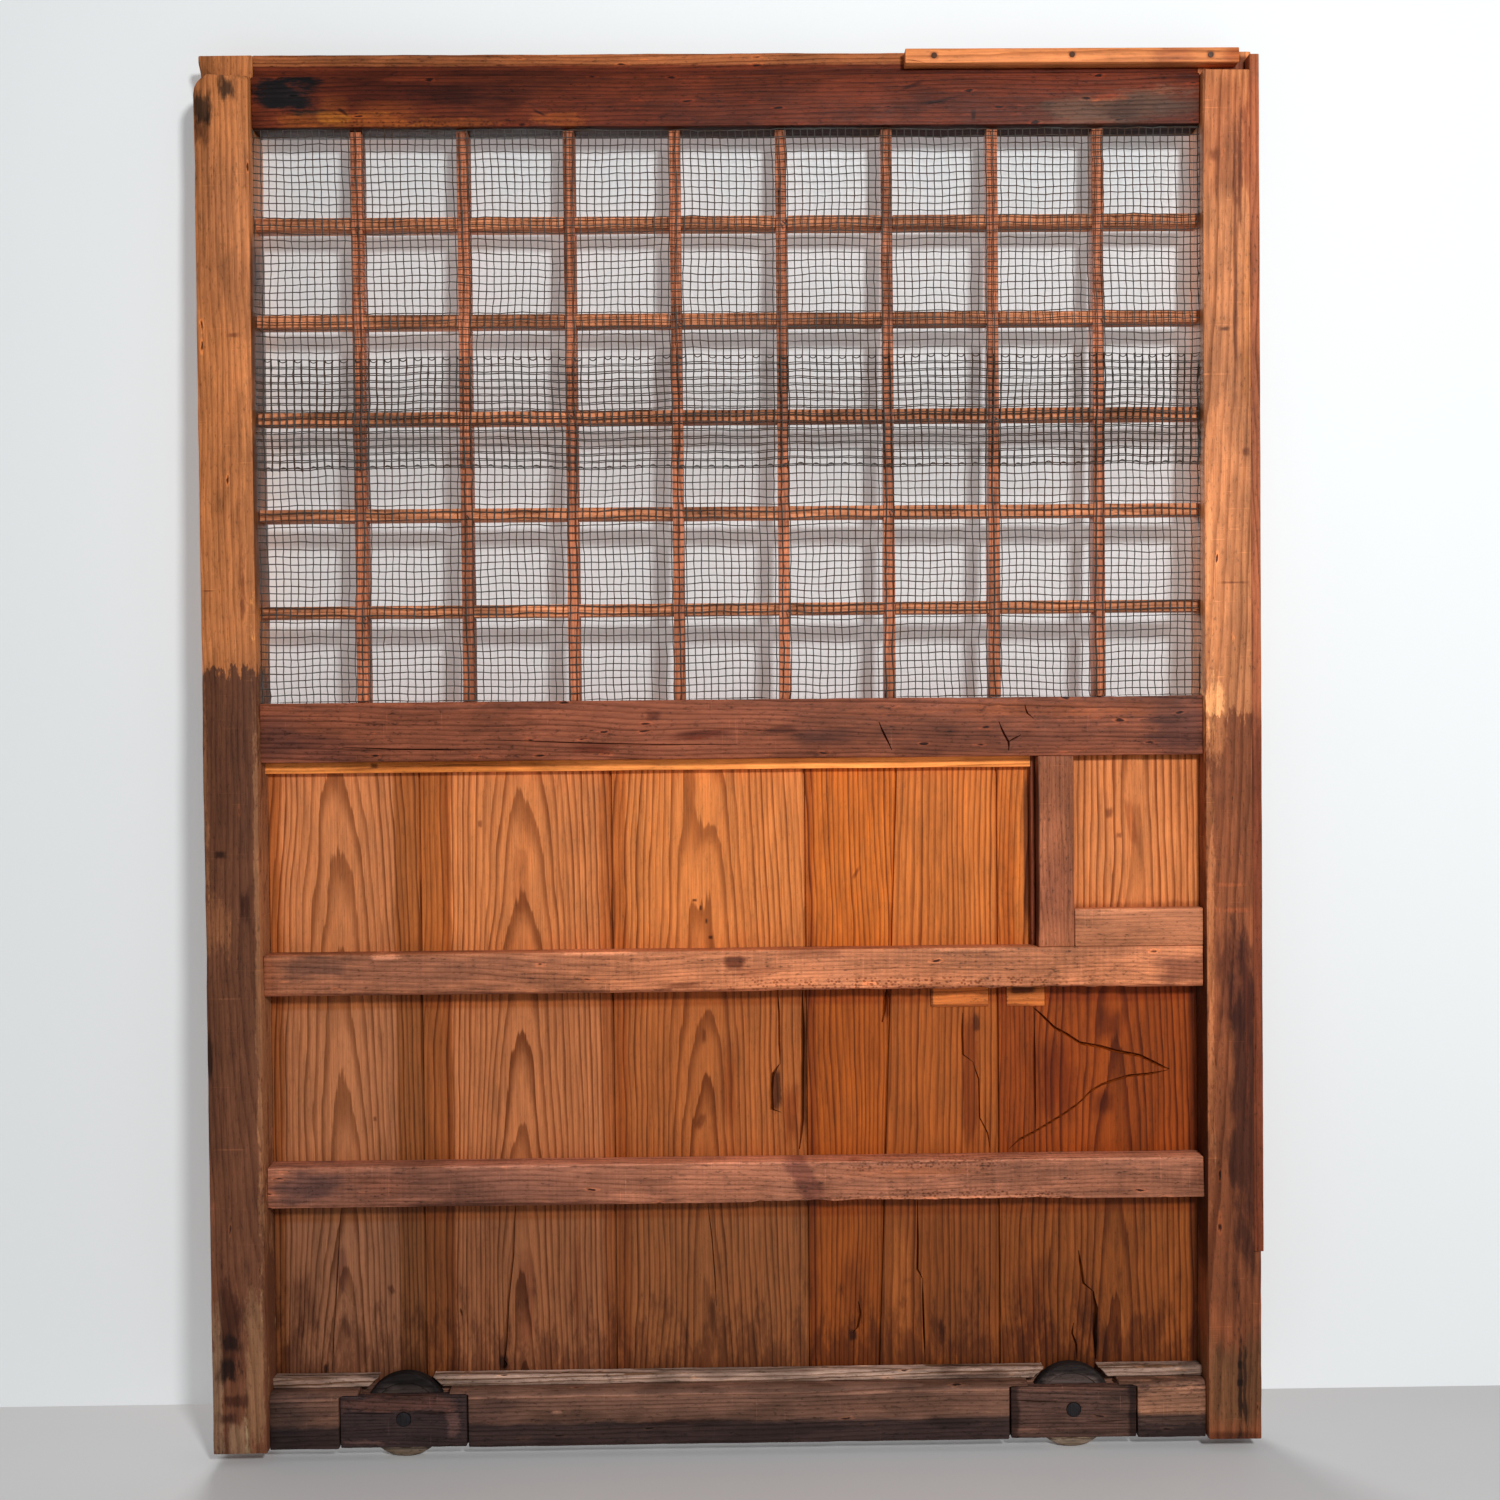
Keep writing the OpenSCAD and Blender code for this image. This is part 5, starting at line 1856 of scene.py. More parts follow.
RAIL_MIDDLE_STAINS = (
    StainOrPaintedLight(-590, 915, 66, 50, (0.5, 0.55, 0.75), 0.9, 0.8, 0.9),
    StainOrPaintedLight(-520, 902, 66, 26, (0.7, 0.72, 0.9), 0.85, 0.8, 1.0),
    StainOrPaintedLight(570, 920, 62, 50, (0.5, 0.55, 0.75), 0.95, 0.7, 1.0),
    StainOrPaintedLight(330, 908, 300, 26, (0.74, 0.76, 0.82), 0.9, 0.8, 1.6),
    StainOrPaintedLight(-182, 900, 36, 8, (0.55, 0.38, 0.34), 0.95, 0.7, 1.5),
    StainOrPaintedLight(-103, 942, 12, 9, UMBER, 0.9, 0.7, 1.8),
    StainOrPaintedLight(-45, 917, 52, 8, (0.5, 0.34, 0.3), 0.95, 0.7, 1.5, 8),
    StainOrPaintedLight(400, 946, 180, 12, (1.2, 1.1, 0.85), 0.9, 0.6, 1.6),
    StainOrPaintedLight(120, 915, 48, 14, (0.62, 0.66, 0.8), 0.9, 0.7, 1.3),
    StainOrPaintedLight(60, 924, 22, 8, UMBER, 0.8, 0.8, 2.0),
    StainOrPaintedLight(200, 945, 75, 9, (1.4, 1.35, 1.2), 0.85, 0.7, 1.3),
    StainOrPaintedLight(-300, 955, 260, 5, (0.8, 0.85, 0.95), 0.8, 0.7, 2.4),
)
RAIL_BOTTOM_STAINS_AND_HIGHLIGHT = (
    StainOrPaintedLight(0, 20, EVER, 29, (0.26, 0.30, 0.40), 1.0, 0.25, 0.4),
    StainOrPaintedLight(-595, 55, 84, 60, (0.42, 0.46, 0.55), 0.95, 0.7, 1.0),
    StainOrPaintedLight(-320, 60, 62, 32, (0.58, 0.6, 0.68), 0.9, 0.8, 1.0),
    StainOrPaintedLight(-90, 44, 62, 6, UMBER, 0.9, 0.7, 1.6),
    StainOrPaintedLight(548, 58, 60, 32, (2.5, 2.4, 2.1), 0.95, 0.4, 1.2),
    StainOrPaintedLight(-233, 60, 9, 3, (2.4, 2.4, 2.4), 0.8, 0.8, 2.0),
    StainOrPaintedLight(200, 63, 170, 13, (1.25, 1.2, 1.15), 0.8, 0.8, 1.2),
    # Painted highlight along the rounded top front edge.
    StainOrPaintedLight(0, 79, EVER, 2.6, (1.8, 1.8, 1.8), 0.85, 0.6, 1.2),
)
RAILS = {
    "top_rail": Timber(
        "rail_top_wood", screen(102, 42, 21), SIDE, ring=5.0, pith=(1560, 70), lean=0.02, middle=0,
        contrast=0.9, gouges=0.24, blotch=0.3, dull=0.5,
        eaten=(StainOrPaintedLight(-380, 1686, 200, 7, UMBER, 0.8, 0.6),),
        stains_and_painted_light=RAIL_TOP_STAINS_AND_SHADE,
    ),
    "middle_rail": Timber(
        "rail_middle_wood", screen(139, 77, 53), SIDE, ring=5.5, pith=(1040, 80), lean=0.03,
        middle=0, contrast=0.9, gouges=0.3, blotch=0.25, scratch=0.3,
        stains_and_painted_light=RAIL_MIDDLE_STAINS,
    ),
    "bottom_rail": Timber(
        "rail_bottom_wood", screen(113, 79, 64), SIDE, ring=5.0, pith=(-60, 80), lean=0.02,
        middle=0, contrast=0.8, gouges=0.12, blotch=0.35, scratch=0.3, dull=0.65,
        stains_and_painted_light=RAIL_BOTTOM_STAINS_AND_HIGHLIGHT,
    ),
}
BATTEN_UPPER_STAINS_AND_HIGHLIGHT = (
    StainOrPaintedLight(-420, 618, 380, 60, (0.44, 0.46, 0.56), 0.95, 0.9, 0.5),
    StainOrPaintedLight(-530, 630, 62, 20, (0.5, 0.55, 0.66), 0.9, 0.7, 1.4),
    StainOrPaintedLight(-592, 615, 22, 40, DIM, 0.85, 0.7, 1.0),
    StainOrPaintedLight(-445, 641, 20, 4, (2.6, 2.8, 3.0), 0.85, 0.6, 2.0),
    # Painted highlight in patches along the top arris.
    StainOrPaintedLight(-180, 642, 56, 2.6, (1.8, 1.9, 2.0), 0.85, 0.7, 2.6),
    StainOrPaintedLight(300, 642, 70, 2.6, (1.5, 1.6, 1.7), 0.85, 0.7, 2.6),
    StainOrPaintedLight(20, 618, 44, 10, DIM, 0.85, 0.8, 1.2),
    StainOrPaintedLight(-2, 628, 18, 11, (0.26, 0.18, 0.16), 0.95, 0.5, 0.8),
    StainOrPaintedLight(-70, 600, 36, 7, UMBER, 0.85, 0.7, 2.2),
    StainOrPaintedLight(100, 640, 90, 6, DIM, 0.85, 0.7, 2.0),
    StainOrPaintedLight(572, 613, 50, 26, (0.42, 0.38, 0.42), 0.95, 0.6, 1.2),
    StainOrPaintedLight(0, 593, EVER, 3.5, UMBER, 0.9, 0.7, 1.5),
)
BATTEN_LOWER_STAINS_AND_HIGHLIGHT = (
    StainOrPaintedLight(-400, 349, 390, 60, (0.50, 0.53, 0.62), 0.95, 0.9, 0.5),
    StainOrPaintedLight(-545, 350, 52, 30, (0.45, 0.52, 0.7), 0.9, 0.7, 1.4),
    StainOrPaintedLight(-450, 350, 52, 20, (1.25, 1.12, 1.0), 0.75, 0.8, 1.4),
    StainOrPaintedLight(84, 352, 18, 46, (0.5, 0.42, 0.48), 0.9, 0.5, 0.6, 30),
    StainOrPaintedLight(230, 360, 105, 10, (1.15, 1.0, 0.8), 0.85, 0.8, 1.5),
    # Painted highlight along the whole top arris.
    StainOrPaintedLight(0, 374, EVER, 2.8, (1.6, 1.65, 1.7), 0.85, 0.6, 3.0),
    StainOrPaintedLight(280, 326, 160, 2.6, (1.9, 1.9, 1.8), 0.75, 0.7, 3.0),
    StainOrPaintedLight(586, 355, 16, 20, DIM, 0.85, 0.8, 1.2),
    StainOrPaintedLight(-300, 325, 300, 3.5, UMBER, 0.85, 0.7, 1.5),
)
BATTENS = {
    "upper": Timber(
        "batten_upper_wood", screen(208, 129, 87), SIDE, ring=5.0, pith=(720, 80), lean=0.02,
        middle=0, contrast=0.7, gouges=0.08, blotch=0.22, scratch=0.25, sawn=0.4,
        eaten=(StainOrPaintedLight(215, 600, 290, 11, (0.48, 0.36, 0.28), 0.95, 0.5),),
        stains_and_painted_light=BATTEN_UPPER_STAINS_AND_HIGHLIGHT,
    ),
    "lower": Timber(
        "batten_lower_wood", screen(173, 109, 81), SIDE, ring=5.0, pith=(450, 80), lean=0.02,
        middle=0, contrast=0.7, gouges=0.1, blotch=0.25, scratch=0.4, sawn=0.35,
        eaten=(
            StainOrPaintedLight(285, 330, 190, 9, (0.48, 0.38, 0.31), 0.9, 0.5),
            StainOrPaintedLight(240, 368, 130, 9, (0.45, 0.35, 0.28), 0.9, 0.5),
        ),
        stains_and_painted_light=BATTEN_LOWER_STAINS_AND_HIGHLIGHT,
    ),
}


def dirt_and_batten_shadows(below: Colour, foot: Colour) -> tuple[StainOrPaintedLight, ...]:
    """Give the dirt of a board, one step darker under each batten, with an unfaded band and a
    painted shadow line just below each batten.

    Args:
        below: Tint of all that is under the upper batten.
        foot: More tint of what is under the lower batten.

    Returns:
        The stains.
    """
    return (
        StainOrPaintedLight(0, -4000, EVER, 4618, below, 1.0, 0.003, 0.0),
        StainOrPaintedLight(0, -4000, EVER, 4349, foot, 1.0, 0.003, 0.0),
        StainOrPaintedLight(0, 588, EVER, 22, (0.80, 0.64, 0.42), 0.85, 0.3, 0.2),
        StainOrPaintedLight(0, 316, EVER, 24, (0.86, 0.70, 0.46), 0.85, 0.3, 0.2),
        # Painted shadow: a thin dark line on the board just below each batten.
        StainOrPaintedLight(0, 596, EVER, 8, UMBER, 0.9, 0.4, 0.2),
        StainOrPaintedLight(0, 326, EVER, 8, UMBER, 0.9, 0.4, 0.2),
        StainOrPaintedLight(0, 84, EVER, 110, (0.50, 0.44, 0.44), 0.9, 0.9, 3.2),
    )


BOARD_1_STAINS_AND_SHADOW = (
    *dirt_and_batten_shadows((0.73, 0.78, 0.9), (0.64, 0.70, 0.82)),
    StainOrPaintedLight(-594, 500, 17, EVER, (0.66, 0.52, 0.32), 0.95, 0.5, 0.4),
    StainOrPaintedLight(-420, 500, 20, EVER, (0.66, 0.55, 0.34), 0.95, 0.3, 0.2),
    StainOrPaintedLight(-512, 235, 10, 34, (0.62, 0.55, 0.62), 0.9, 0.5, 1.0),
    StainOrPaintedLight(-562, 185, 30, 60, DIM, 0.85, 0.8, 1.6),
    StainOrPaintedLight(-533, 106, 5, 9, SOOT_AND_SHADE, 0.95, 0.6, 1.0),
    StainOrPaintedLight(-447, 207, 5, 8, UMBER, 0.9, 0.7, 1.0, 30),
    StainOrPaintedLight(-466, 428, 3, 4, UMBER, 0.9, 0.7, 1.0),
)
BOARD_2_STAINS_AND_SHADOW = (
    *dirt_and_batten_shadows((0.72, 0.74, 0.85), (0.60, 0.64, 0.72)),
    StainOrPaintedLight(-385, 500, 23, EVER, (0.66, 0.55, 0.34), 0.95, 0.3, 0.2),
    StainOrPaintedLight(-369, 500, 8, EVER, (0.72, 0.62, 0.5), 0.9, 0.8, 0.4),
    StainOrPaintedLight(-166, 700, 12, EVER, (0.74, 0.58, 0.38), 0.85, 0.6, 0.4),
    StainOrPaintedLight(-275, 190, 13, 80, (0.72, 0.62, 0.62), 0.85, 0.4, 0.8),
    StainOrPaintedLight(-209, 200, 7, 100, (0.62, 0.48, 0.36), 0.85, 0.8, 0.8),
    StainOrPaintedLight(-304, 110, 8, 12, SOOT_AND_SHADE, 0.95, 0.6, 1.0),
    StainOrPaintedLight(-275, 735, 11, 46, (0.84, 0.78, 0.74), 0.85, 0.2, 0.6),
    StainOrPaintedLight(-327, 806, 4, 6, UMBER, 0.8, 0.7, 1.0),
)
BOARD_3_STAINS_AND_SHADOW = (
    *dirt_and_batten_shadows((0.62, 0.57, 0.54), (0.62, 0.72, 0.96)),
    StainOrPaintedLight(-148, 500, 12, EVER, (0.74, 0.58, 0.38), 0.85, 0.6, 0.3),
    StainOrPaintedLight(-10, 460, 12, 80, (0.7, 0.56, 0.42), 0.85, 0.8, 0.8),
    StainOrPaintedLight(50, 460, 8, 32, SOOT_AND_SHADE, 0.95, 0.5, 1.4),
    StainOrPaintedLight(70, 430, 14, 46, (0.66, 0.5, 0.36), 0.9, 0.6, 0.9),
    StainOrPaintedLight(86, 480, 4, 110, SOOT_AND_SHADE, 0.95, 0.5, 0.8),
    StainOrPaintedLight(-53, 705, 4, 2.5, SOOT_AND_SHADE, 0.95, 0.7, 0.8),
    StainOrPaintedLight(-38, 678, 2.5, 5, SOOT_AND_SHADE, 0.95, 0.7, 1.6),
    StainOrPaintedLight(-45, 695, 2, 4, SOOT_AND_SHADE, 0.9, 0.7, 1.6),
    StainOrPaintedLight(-33, 657, 4, 3, SOOT_AND_SHADE, 0.95, 0.7, 0.8),
    StainOrPaintedLight(-42, 530, 4, 14, UMBER, 0.85, 0.7, 1.0),
    StainOrPaintedLight(-48, 420, 7, 16, UMBER, 0.8, 0.6, 1.0, -25),
)
BOARD_4_STAINS_AND_SHADOW = (
    *dirt_and_batten_shadows((0.62, 0.56, 0.5), (0.62, 0.66, 0.8)),
    StainOrPaintedLight(155, 738, 3.5, 14, UMBER, 0.9, 0.7, 1.2, -30),
    StainOrPaintedLight(194, 568, 6, 24, UMBER, 0.9, 0.5, 1.0),
    StainOrPaintedLight(147, 140, 7, 9, SOOT_AND_SHADE, 0.95, 0.6, 1.2),
    StainOrPaintedLight(150, 200, 24, 60, DIM, 0.85, 0.8, 1.4),
    StainOrPaintedLight(96, 500, 8, EVER, (0.62, 0.5, 0.4), 0.85, 0.8, 0.4),
)
BOARD_5_STAINS_AND_SHADOW = (
    *dirt_and_batten_shadows((0.62, 0.56, 0.5), (0.62, 0.66, 0.8)),
    StainOrPaintedLight(300, 470, 14, 100, (0.56, 0.42, 0.3), 0.9, 0.5, 0.8),
    StainOrPaintedLight(309, 543, 5, 14, SOOT_AND_SHADE, 0.8, 0.7, 1.6),
    StainOrPaintedLight(208, 200, 15, 100, (1.5, 1.6, 1.7), 0.85, 0.5, 0.7),
    StainOrPaintedLight(285, 150, 48, 70, (0.82, 0.86, 1.0), 0.85, 0.7, 1.2),
    StainOrPaintedLight(262, 140, 5, 20, UMBER, 0.85, 0.7, 1.4),
)
BOARD_6_STAINS_AND_SHADE = (
    *dirt_and_batten_shadows((0.45, 0.31, 0.18), (0.88, 1.25, 2.3)),
    StainOrPaintedLight(412, 470, 34, 70, (0.66, 0.52, 0.38), 0.9, 0.7, 0.8),
    StainOrPaintedLight(482, 540, 26, 28, (0.5, 0.42, 0.44), 0.9, 0.8, 1.0),
    StainOrPaintedLight(472, 438, 22, 20, (0.5, 0.42, 0.44), 0.9, 0.8, 1.0),
    StainOrPaintedLight(350, 700, 14, 190, (0.8, 0.64, 0.42), 0.8, 0.7, 0.4),
    StainOrPaintedLight(380, 170, 30, 90, (0.6, 0.5, 0.42), 0.85, 0.8, 1.4),
    StainOrPaintedLight(448, 170, 18, 80, DIM, 0.9, 0.7, 1.2),
    StainOrPaintedLight(491, 150, 9, 42, (1.5, 1.6, 1.8), 0.8, 0.4, 0.8, 12),
    StainOrPaintedLight(460, 140, 5, 44, SOOT_AND_SHADE, 0.95, 0.6, 1.2),
    # Painted shade cast by the right stile on the board's right edge.
    StainOrPaintedLight(588, 500, 8, EVER, UMBER, 0.9, 0.8, 0.4),
    # Painted shade in the slot beside the lock lath.
    StainOrPaintedLight(376, 765, 6, 124, SOOT_AND_SHADE, 0.95, 0.4, 0.3),
)
BOARDS = (
    Timber(
        "board_1_wood", screen(194, 118, 70), UP, ring=6.0, pith=(-508, 75), lean=-0.05, middle=430,
        contrast=1.0, mottle=0.6, fleck=0.15, stains_and_painted_light_to=FRONT_ONLY,
        stains_and_painted_light=BOARD_1_STAINS_AND_SHADOW,
    ),
    Timber(
        "board_2_wood", screen(204, 121, 67), UP, ring=6.4, pith=(-273, 72), lean=-0.055,
        middle=420, contrast=1.05, mottle=0.6, fleck=0.15, stains_and_painted_light_to=FRONT_ONLY,
        stains_and_painted_light=BOARD_2_STAINS_AND_SHADOW,
    ),
    Timber(
        "board_3_wood", screen(210, 122, 61), UP, ring=6.6, pith=(-43, 74), lean=-0.05, middle=380,
        contrast=1.0, mottle=0.6, fleck=0.15, stains_and_painted_light_to=FRONT_ONLY,
        stains_and_painted_light=BOARD_3_STAINS_AND_SHADOW,
    ),
    Timber(
        "board_4_wood", screen(204, 107, 37), UP, ring=6.0, pith=(420, 160), lean=0.02, middle=450,
        contrast=1.1, mottle=0.7, fleck=0.15, stains_and_painted_light_to=FRONT_ONLY,
        stains_and_painted_light=BOARD_4_STAINS_AND_SHADOW,
    ),
    Timber(
        "board_5_wood", screen(196, 108, 46), UP, ring=6.4, pith=(120, 150), lean=0.02, middle=450,
        contrast=1.1, mottle=0.7, fleck=0.15, stains_and_painted_light_to=FRONT_ONLY,
        stains_and_painted_light=BOARD_5_STAINS_AND_SHADOW,
    ),
    Timber(
        "board_6_wood", screen(203, 111, 46), UP, ring=6.6, pith=(485, 85), lean=-0.04, middle=300,
        contrast=1.15, mottle=0.8, fleck=0.2, stains_and_painted_light_to=FRONT_ONLY,
        stains_and_painted_light=BOARD_6_STAINS_AND_SHADE,
    ),
)
NEW_PINE = Timber(
    "head_strip_pine", screen(209, 127, 74), SIDE, ring=7.0, pith=(1700, 60), lean=0.01, middle=400,
    contrast=0.6, fleck=0.2,
    stains_and_painted_light=(
        StainOrPaintedLight(560, 1764, 34, 20, (0.75, 0.66, 0.72), 0.8, 0.8, 1.2),
        StainOrPaintedLight(640, 1764, 26, 14, (0.62, 0.46, 0.4), 0.9, 0.7, 0.8),
        *(StainOrPaintedLight(x, 1764, 7, 7, UMBER, 0.85, 0.7, 0.6) for x in (258, 431, 605)),
    ),
)
BEAD_PINE = Timber(
    "bead_pine", screen(255, 156, 78), SIDE, ring=7.0, pith=(820, 70), lean=0.01, middle=100,
    contrast=0.8, fleck=0.2,
    stains_and_painted_light=(
        StainOrPaintedLight(-380, 880, 220, 20, (0.62, 0.54, 0.42), 0.85, 0.8, 0.6),
        StainOrPaintedLight(-458, 882, 7, 5, SOOT_AND_SHADE, 0.9, 0.7, 0.8),
    ),
)
PATCH_WOOD = Timber(
    "patch_cedar", screen(196, 108, 50), SIDE, ring=5.0, pith=(540, 80), lean=0.02, contrast=0.7,
    stains_and_painted_light=(
        StainOrPaintedLight(320, 565, 120, 3, UMBER, 0.9, 0.7, 0.8),
        # Painted shade: the upper part of the right patch is darkened to stand for the open hole
        # above it.
        StainOrPaintedLight(368, 587, 17, 8, SOOT_AND_SHADE, 0.95, 0.5, 1.4),
        StainOrPaintedLight(251, 578, 3, 20, SOOT_AND_SHADE, 0.9, 0.6, 0.8),
    ),
)
LATH_WOOD = Timber(
    "lath_wood", screen(160, 88, 54), UP, ring=4.0, pith=(700, 60), lean=0.01, contrast=0.7,
    stains_and_painted_light=(StainOrPaintedLight(660, -3000, EVER, 3960, (0.5, 0.42, 0.42), 1.0, 0.02, 0.05),),
)
WEDGE_WOOD = Timber("wedge_timber", screen(150, 92, 60), SIDE, ring=2.6, contrast=0.5)
UPRIGHT_WOOD = Timber(
    "grid_upright_wood", screen(186, 112, 79), UP, ring=4.0, pith=(20, 200), lean=0.01, middle=1300,
    contrast=0.7, streak=1.3, mottle=1.3, blotch=0.35, dull=0.6,
)
CROSSBAR_WOOD = Timber(
    "grid_crossbar_wood", screen(200, 128, 89), SIDE, ring=4.0, pith=(1300, 220), lean=0.01,
    middle=0, contrast=0.7, streak=1.3, mottle=1.3, blotch=0.35, dull=0.6,
)
POST_WOOD = Timber(
    "lock_post_wood", screen(163, 96, 64), UP, ring=4.5, pith=(500, 90), lean=0.02, contrast=0.5,
    blotch=0.25, scratch=0.35,
    stains_and_painted_light=(
        StainOrPaintedLight(407, 720, 40, 60, (0.8, 0.78, 0.85), 0.85, 0.8, 1.2),
        StainOrPaintedLight(391, 765, 6, 60, PALE, 0.8, 0.7, 2.4),
        # Painted shade on the post's side face in the slot beside the lock lath.
        StainOrPaintedLight(383, 765, 3.4, 130, SOOT_AND_SHADE, 0.95, 0.3, 0.3),
    ),
)
LOCK_RAIL_WOOD = Timber(
    "lock_rail_wood", screen(188, 118, 81), SIDE, ring=4.5, pith=(760, 90), lean=0.02, middle=500,
    contrast=0.5, scratch=0.4, blotch=0.15,
    stains_and_painted_light=(StainOrPaintedLight(500, 690, 60, 3, PALE, 0.9, 0.6, 2.4),),
)
LOCK_PANEL_WOOD = Timber(
    "lock_panel_wood", screen(205, 121, 67), UP, ring=7.4, pith=(512, 62), lean=-0.05, middle=900,
    contrast=1.15, mottle=0.6, fleck=0.15,
    stains_and_painted_light=(
        StainOrPaintedLight(507, 800, 7, 36, (0.7, 0.58, 0.5), 0.9, 0.4, 0.8, 8),
        StainOrPaintedLight(478, 812, 7, 9, UMBER, 0.9, 0.7, 1.0),
        StainOrPaintedLight(491, 784, 5, 5, UMBER, 0.85, 0.7, 1.0),
        StainOrPaintedLight(500, 692, EVER, 9, DIM, 0.85, 0.8, 2.0),
    ),
)
# The near-black base tone, left round each wheel's rim outside the brightened discs, is painted
# shadow of the gap round the wheel.
WHEEL_WOOD = Timber(
    "wheel_timber", screen(40, 33, 32), SIDE, ring=4.0, pith=(40, 90), lean=0.02, contrast=0.7,
    dull=0.75, blotch=0.5, mottle=1.3,
    stains_and_painted_light=(
        StainOrPaintedLight(-428, 53, 43, 43, (4.2, 4.2, 3.8), 0.95, 0.25, 0.3),
        StainOrPaintedLight(424, 53, 44, 44, (5.6, 5.4, 5.0), 0.95, 0.2, 0.3),
        # Painted light from the floor on the worn tread at each wheel's foot.
        StainOrPaintedLight(-428, 3, 40, 12, (12.0, 12.0, 9.0), 0.95, 0.3, 0.4),
        StainOrPaintedLight(424, 3, 40, 12, (12.0, 12.0, 9.0), 0.95, 0.3, 0.4),
    ),
)
AXLE_WOOD = Timber("axle_timber", screen(34, 31, 34), UP, ring=2.2, pith=(-420, 20), contrast=0.6)
BLOCK_LEFT_STAINS = (
    StainOrPaintedLight(-427, 73, 90, 12, (2.6, 1.9, 1.5), 0.95, 0.4, 1.4),
    StainOrPaintedLight(-364, 46, 9, 22, (3.4, 2.9, 2.6), 0.8, 0.7, 2.6),
    StainOrPaintedLight(-475, 24, 45, 6, (3.2, 2.8, 2.6), 0.8, 0.7, 3.0),
)
BLOCK_RIGHT_STAINS_AND_SHADE = (
    # Painted shade at both ends of the block, standing for the dark gaps beside it.
    StainOrPaintedLight(348, 50, 9, 60, SOOT_AND_SHADE, 0.9, 0.6, 1.4),
    StainOrPaintedLight(500, 50, 8, 60, SOOT_AND_SHADE, 0.9, 0.6, 1.4),
    StainOrPaintedLight(424, 80, 90, 4, (1.7, 1.5, 1.4), 0.85, 0.6, 1.6),
    StainOrPaintedLight(365, 28, 26, 6, (2.0, 1.9, 1.8), 0.8, 0.7, 1.8),
)
BLOCKS = {
    "left": Timber(
        "block_left_wood", screen(56, 42, 41), SIDE, ring=4.0, pith=(120, 60), lean=0.03,
        middle=-430, contrast=0.8, dull=0.7, relief=0.7, blotch=0.3, scratch=0.9, gouges=0.1,
        stains_and_painted_light=BLOCK_LEFT_STAINS,
    ),
    "right": Timber(
        "block_right_wood", screen(88, 62, 53), SIDE, ring=4.0, pith=(120, 60), lean=0.03,
        middle=420, contrast=0.9, dull=0.7, relief=0.7, blotch=0.4, scratch=0.6, gouges=0.2,
        streak=1.4,
        stains_and_painted_light=BLOCK_RIGHT_STAINS_AND_SHADE,
    ),
}
SILL_WOOD = Timber(
    "sill_timber", screen(168, 138, 122), SIDE, ring=5.0, pith=(40, 60), lean=0.03, middle=0,
    contrast=1.2, streak=1.3, mottle=1.3, blotch=0.4, gouges=0.4, dull=0.8, relief=0.8,
    stains_and_painted_light=(
        StainOrPaintedLight(-560, 95, 60, 12, DIM, 0.85, 0.8, 1.4),
        StainOrPaintedLight(300, 95, 60, 9, UMBER, 0.8, 0.8, 2.0),
    ),
)
PALE_FLOOR = Floor("pale_floor", (0.80, 0.80, 0.80))
PALE_WALL = Backdrop("pale_wall", (0.80, 0.83, 0.84))


# ---------------------------------------------------------------- studio


@dataclass(frozen=True)
class Lamp:
    """A round soft light."""

    name: str
    at: tuple[float, float, float]
    aim: tuple[float, float, float]
    size: float
    power: float

    def build(self) -> None:
        """Hang the light."""
        bpy.ops.object.light_add(type="AREA", location=self.at)
        lamp = bpy.context.active_object
        lamp.name = self.name
        lamp.data.shape = "DISK"
        lamp.data.size = self.size
        lamp.data.energy = self.power
        run = Vector(self.aim) - Vector(self.at)
        lamp.rotation_euler = run.to_track_quat("-Z", "Y").to_euler()


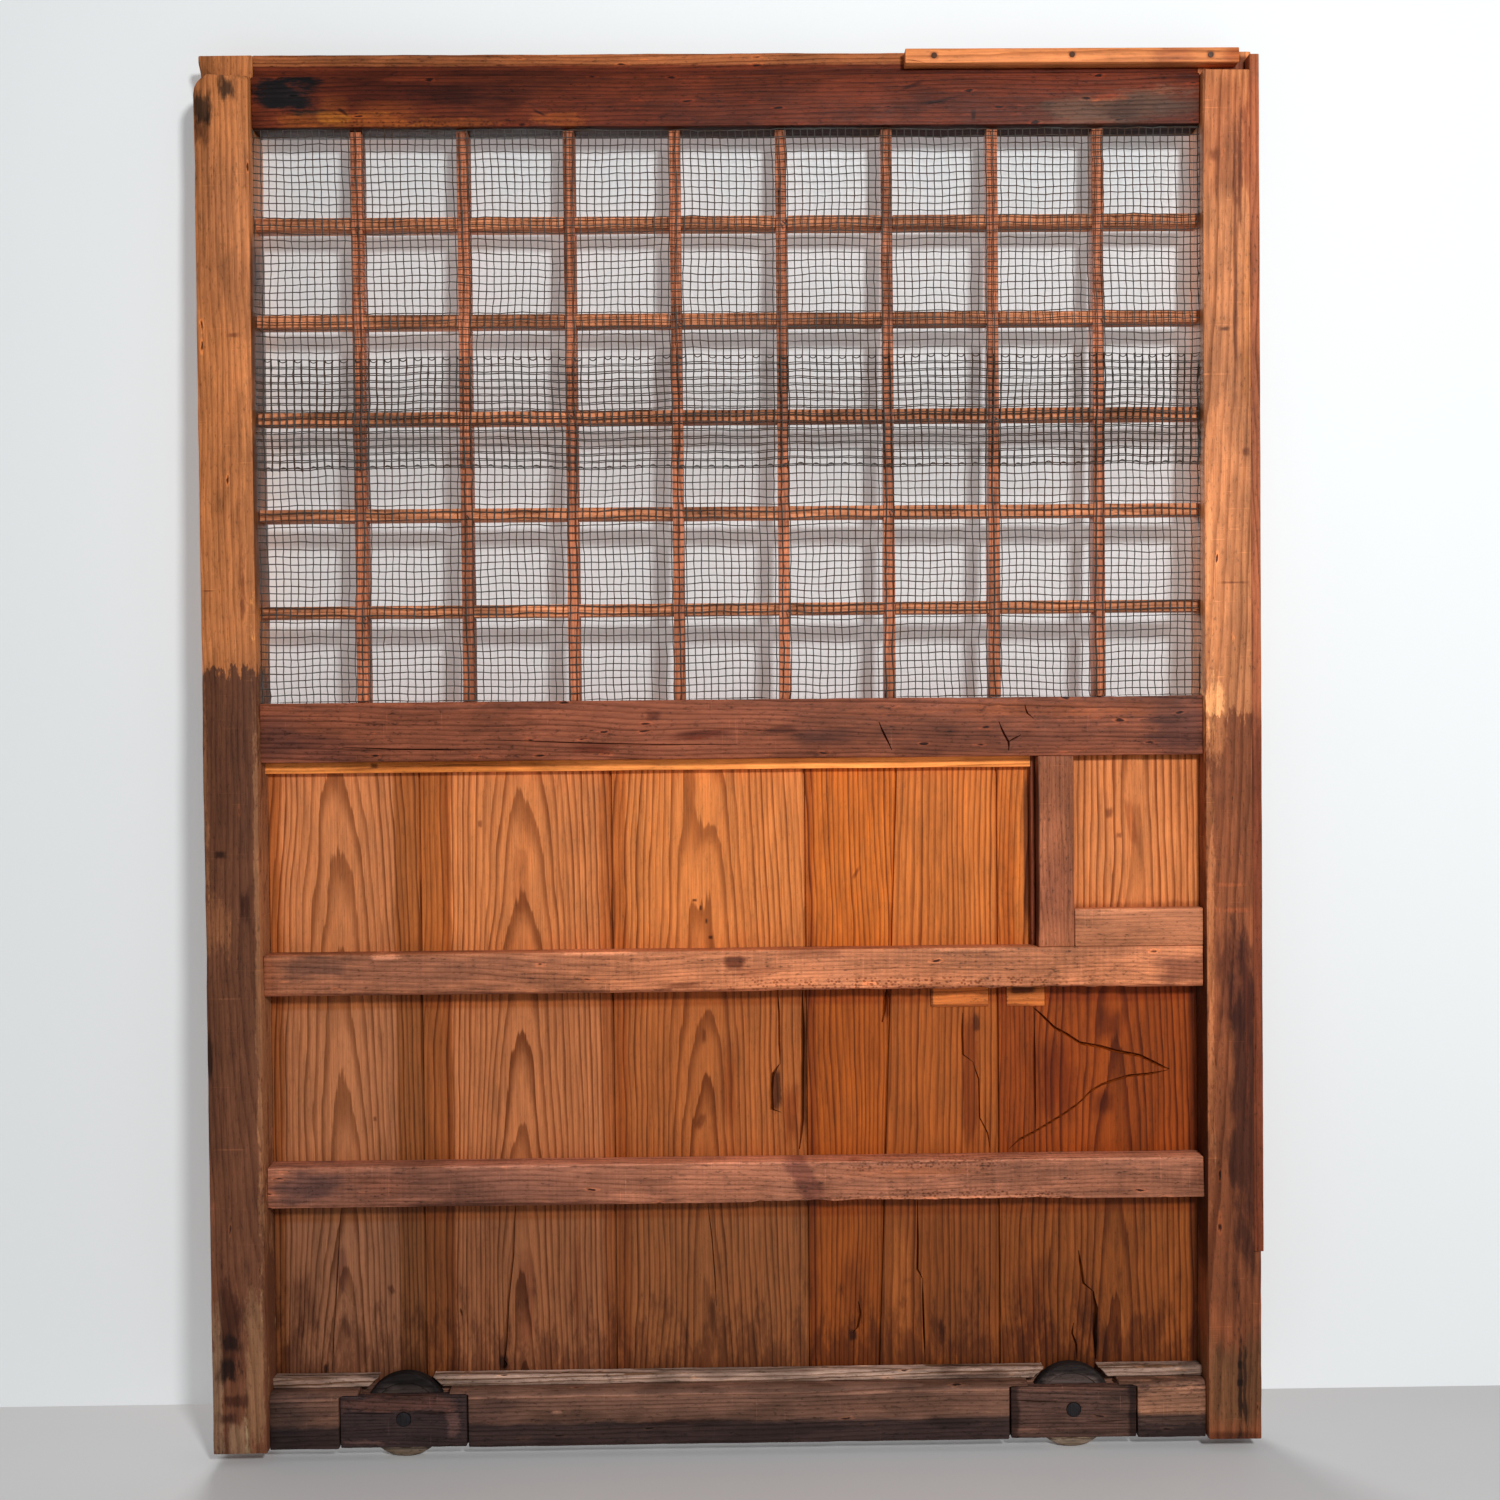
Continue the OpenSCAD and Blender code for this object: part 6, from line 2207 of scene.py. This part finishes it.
@dataclass
class Studio:
    """Pale floor and wall, soft light from the upper right and the photograph's camera."""

    floor_r: float = 9.0
    wall_size: float = 14.0
    wall_foot: float = 0.15
    wall_lean: float = 3.6
    key: Lamp = Lamp("key_light", (0.9, -2.7, 2.0), (0.1, 0.0, 0.9), 0.4, 60.0)
    back: Lamp = Lamp("back_light", (-0.8, 2.6, 2.0), (0.0, 0.0, 0.9), 1.6, 40.0)
    room: float = 0.26
    seen: float = 0.80
    camera_at: tuple[float, float, float] = (-0.0020, -1.9135, 0.9271)
    camera_turn: tuple[float, float, float] = (89.1129, 0.5379, -0.6662)
    lens: float = 36.0
    sensor: float = 36.0

    def build(self) -> None:
        """Set up floor, wall, lights and camera."""
        bpy.ops.object.select_all(action="DESELECT")
        bpy.ops.mesh.primitive_circle_add(vertices=64, radius=self.floor_r, fill_type="NGON")
        floor = Bench.fresh("studio_floor")
        floor.data.materials.append(PALE_FLOOR.material())
        bpy.ops.mesh.primitive_plane_add(
            size=self.wall_size,
            location=(0, self.wall_foot, 0),
            rotation=(math.radians(90 + self.wall_lean), 0, 0),
        )
        wall = Bench.fresh("studio_wall")
        wall.data.materials.append(PALE_WALL.material())
        self.world()
        self.key.build()
        self.back.build()
        bpy.ops.object.camera_add(
            location=self.camera_at,
            rotation=Euler([math.radians(angle) for angle in self.camera_turn]),
        )
        camera = bpy.context.active_object
        camera.data.lens = self.lens
        camera.data.sensor_width = self.sensor
        bpy.context.scene.camera = camera
        bpy.context.scene.view_settings.view_transform = "Standard"

    def world(self) -> None:
        """Fill the room with weak light, and show it pale."""
        world = bpy.data.worlds.new("studio")
        bpy.context.scene.world = world
        world.use_nodes = True
        tree = world.node_tree
        sky = tree.nodes["Background"]
        ray = tree.nodes.new("ShaderNodeLightPath")
        share = tree.nodes.new("ShaderNodeMapRange")
        for number, value in enumerate((0.0, 1.0, self.room, self.seen), 1):
            share.inputs[number].default_value = value
        tree.links.new(ray.outputs["Is Camera Ray"], share.inputs[0])
        tree.links.new(share.outputs[0], sky.inputs["Strength"])
        sky.inputs["Color"].default_value = (0.985, 0.99, 1.0, 1.0)


def main() -> None:
    """Load the frame, then build the studio and every sub-assembly."""
    logging.basicConfig(level=logging.INFO, format="%(name)s: %(message)s")
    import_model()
    Studio().build()
    DoorFrame().build()
    lattice = Lattice()
    lattice.build()
    WireNet(lattice=lattice).build()
    boards = BoardField()
    boards.build()
    LockBox().build()
    RunningGear().build()
    Nails().build(boards)
    bpy.context.view_layer.update()


if __name__ == "__main__":
    main()
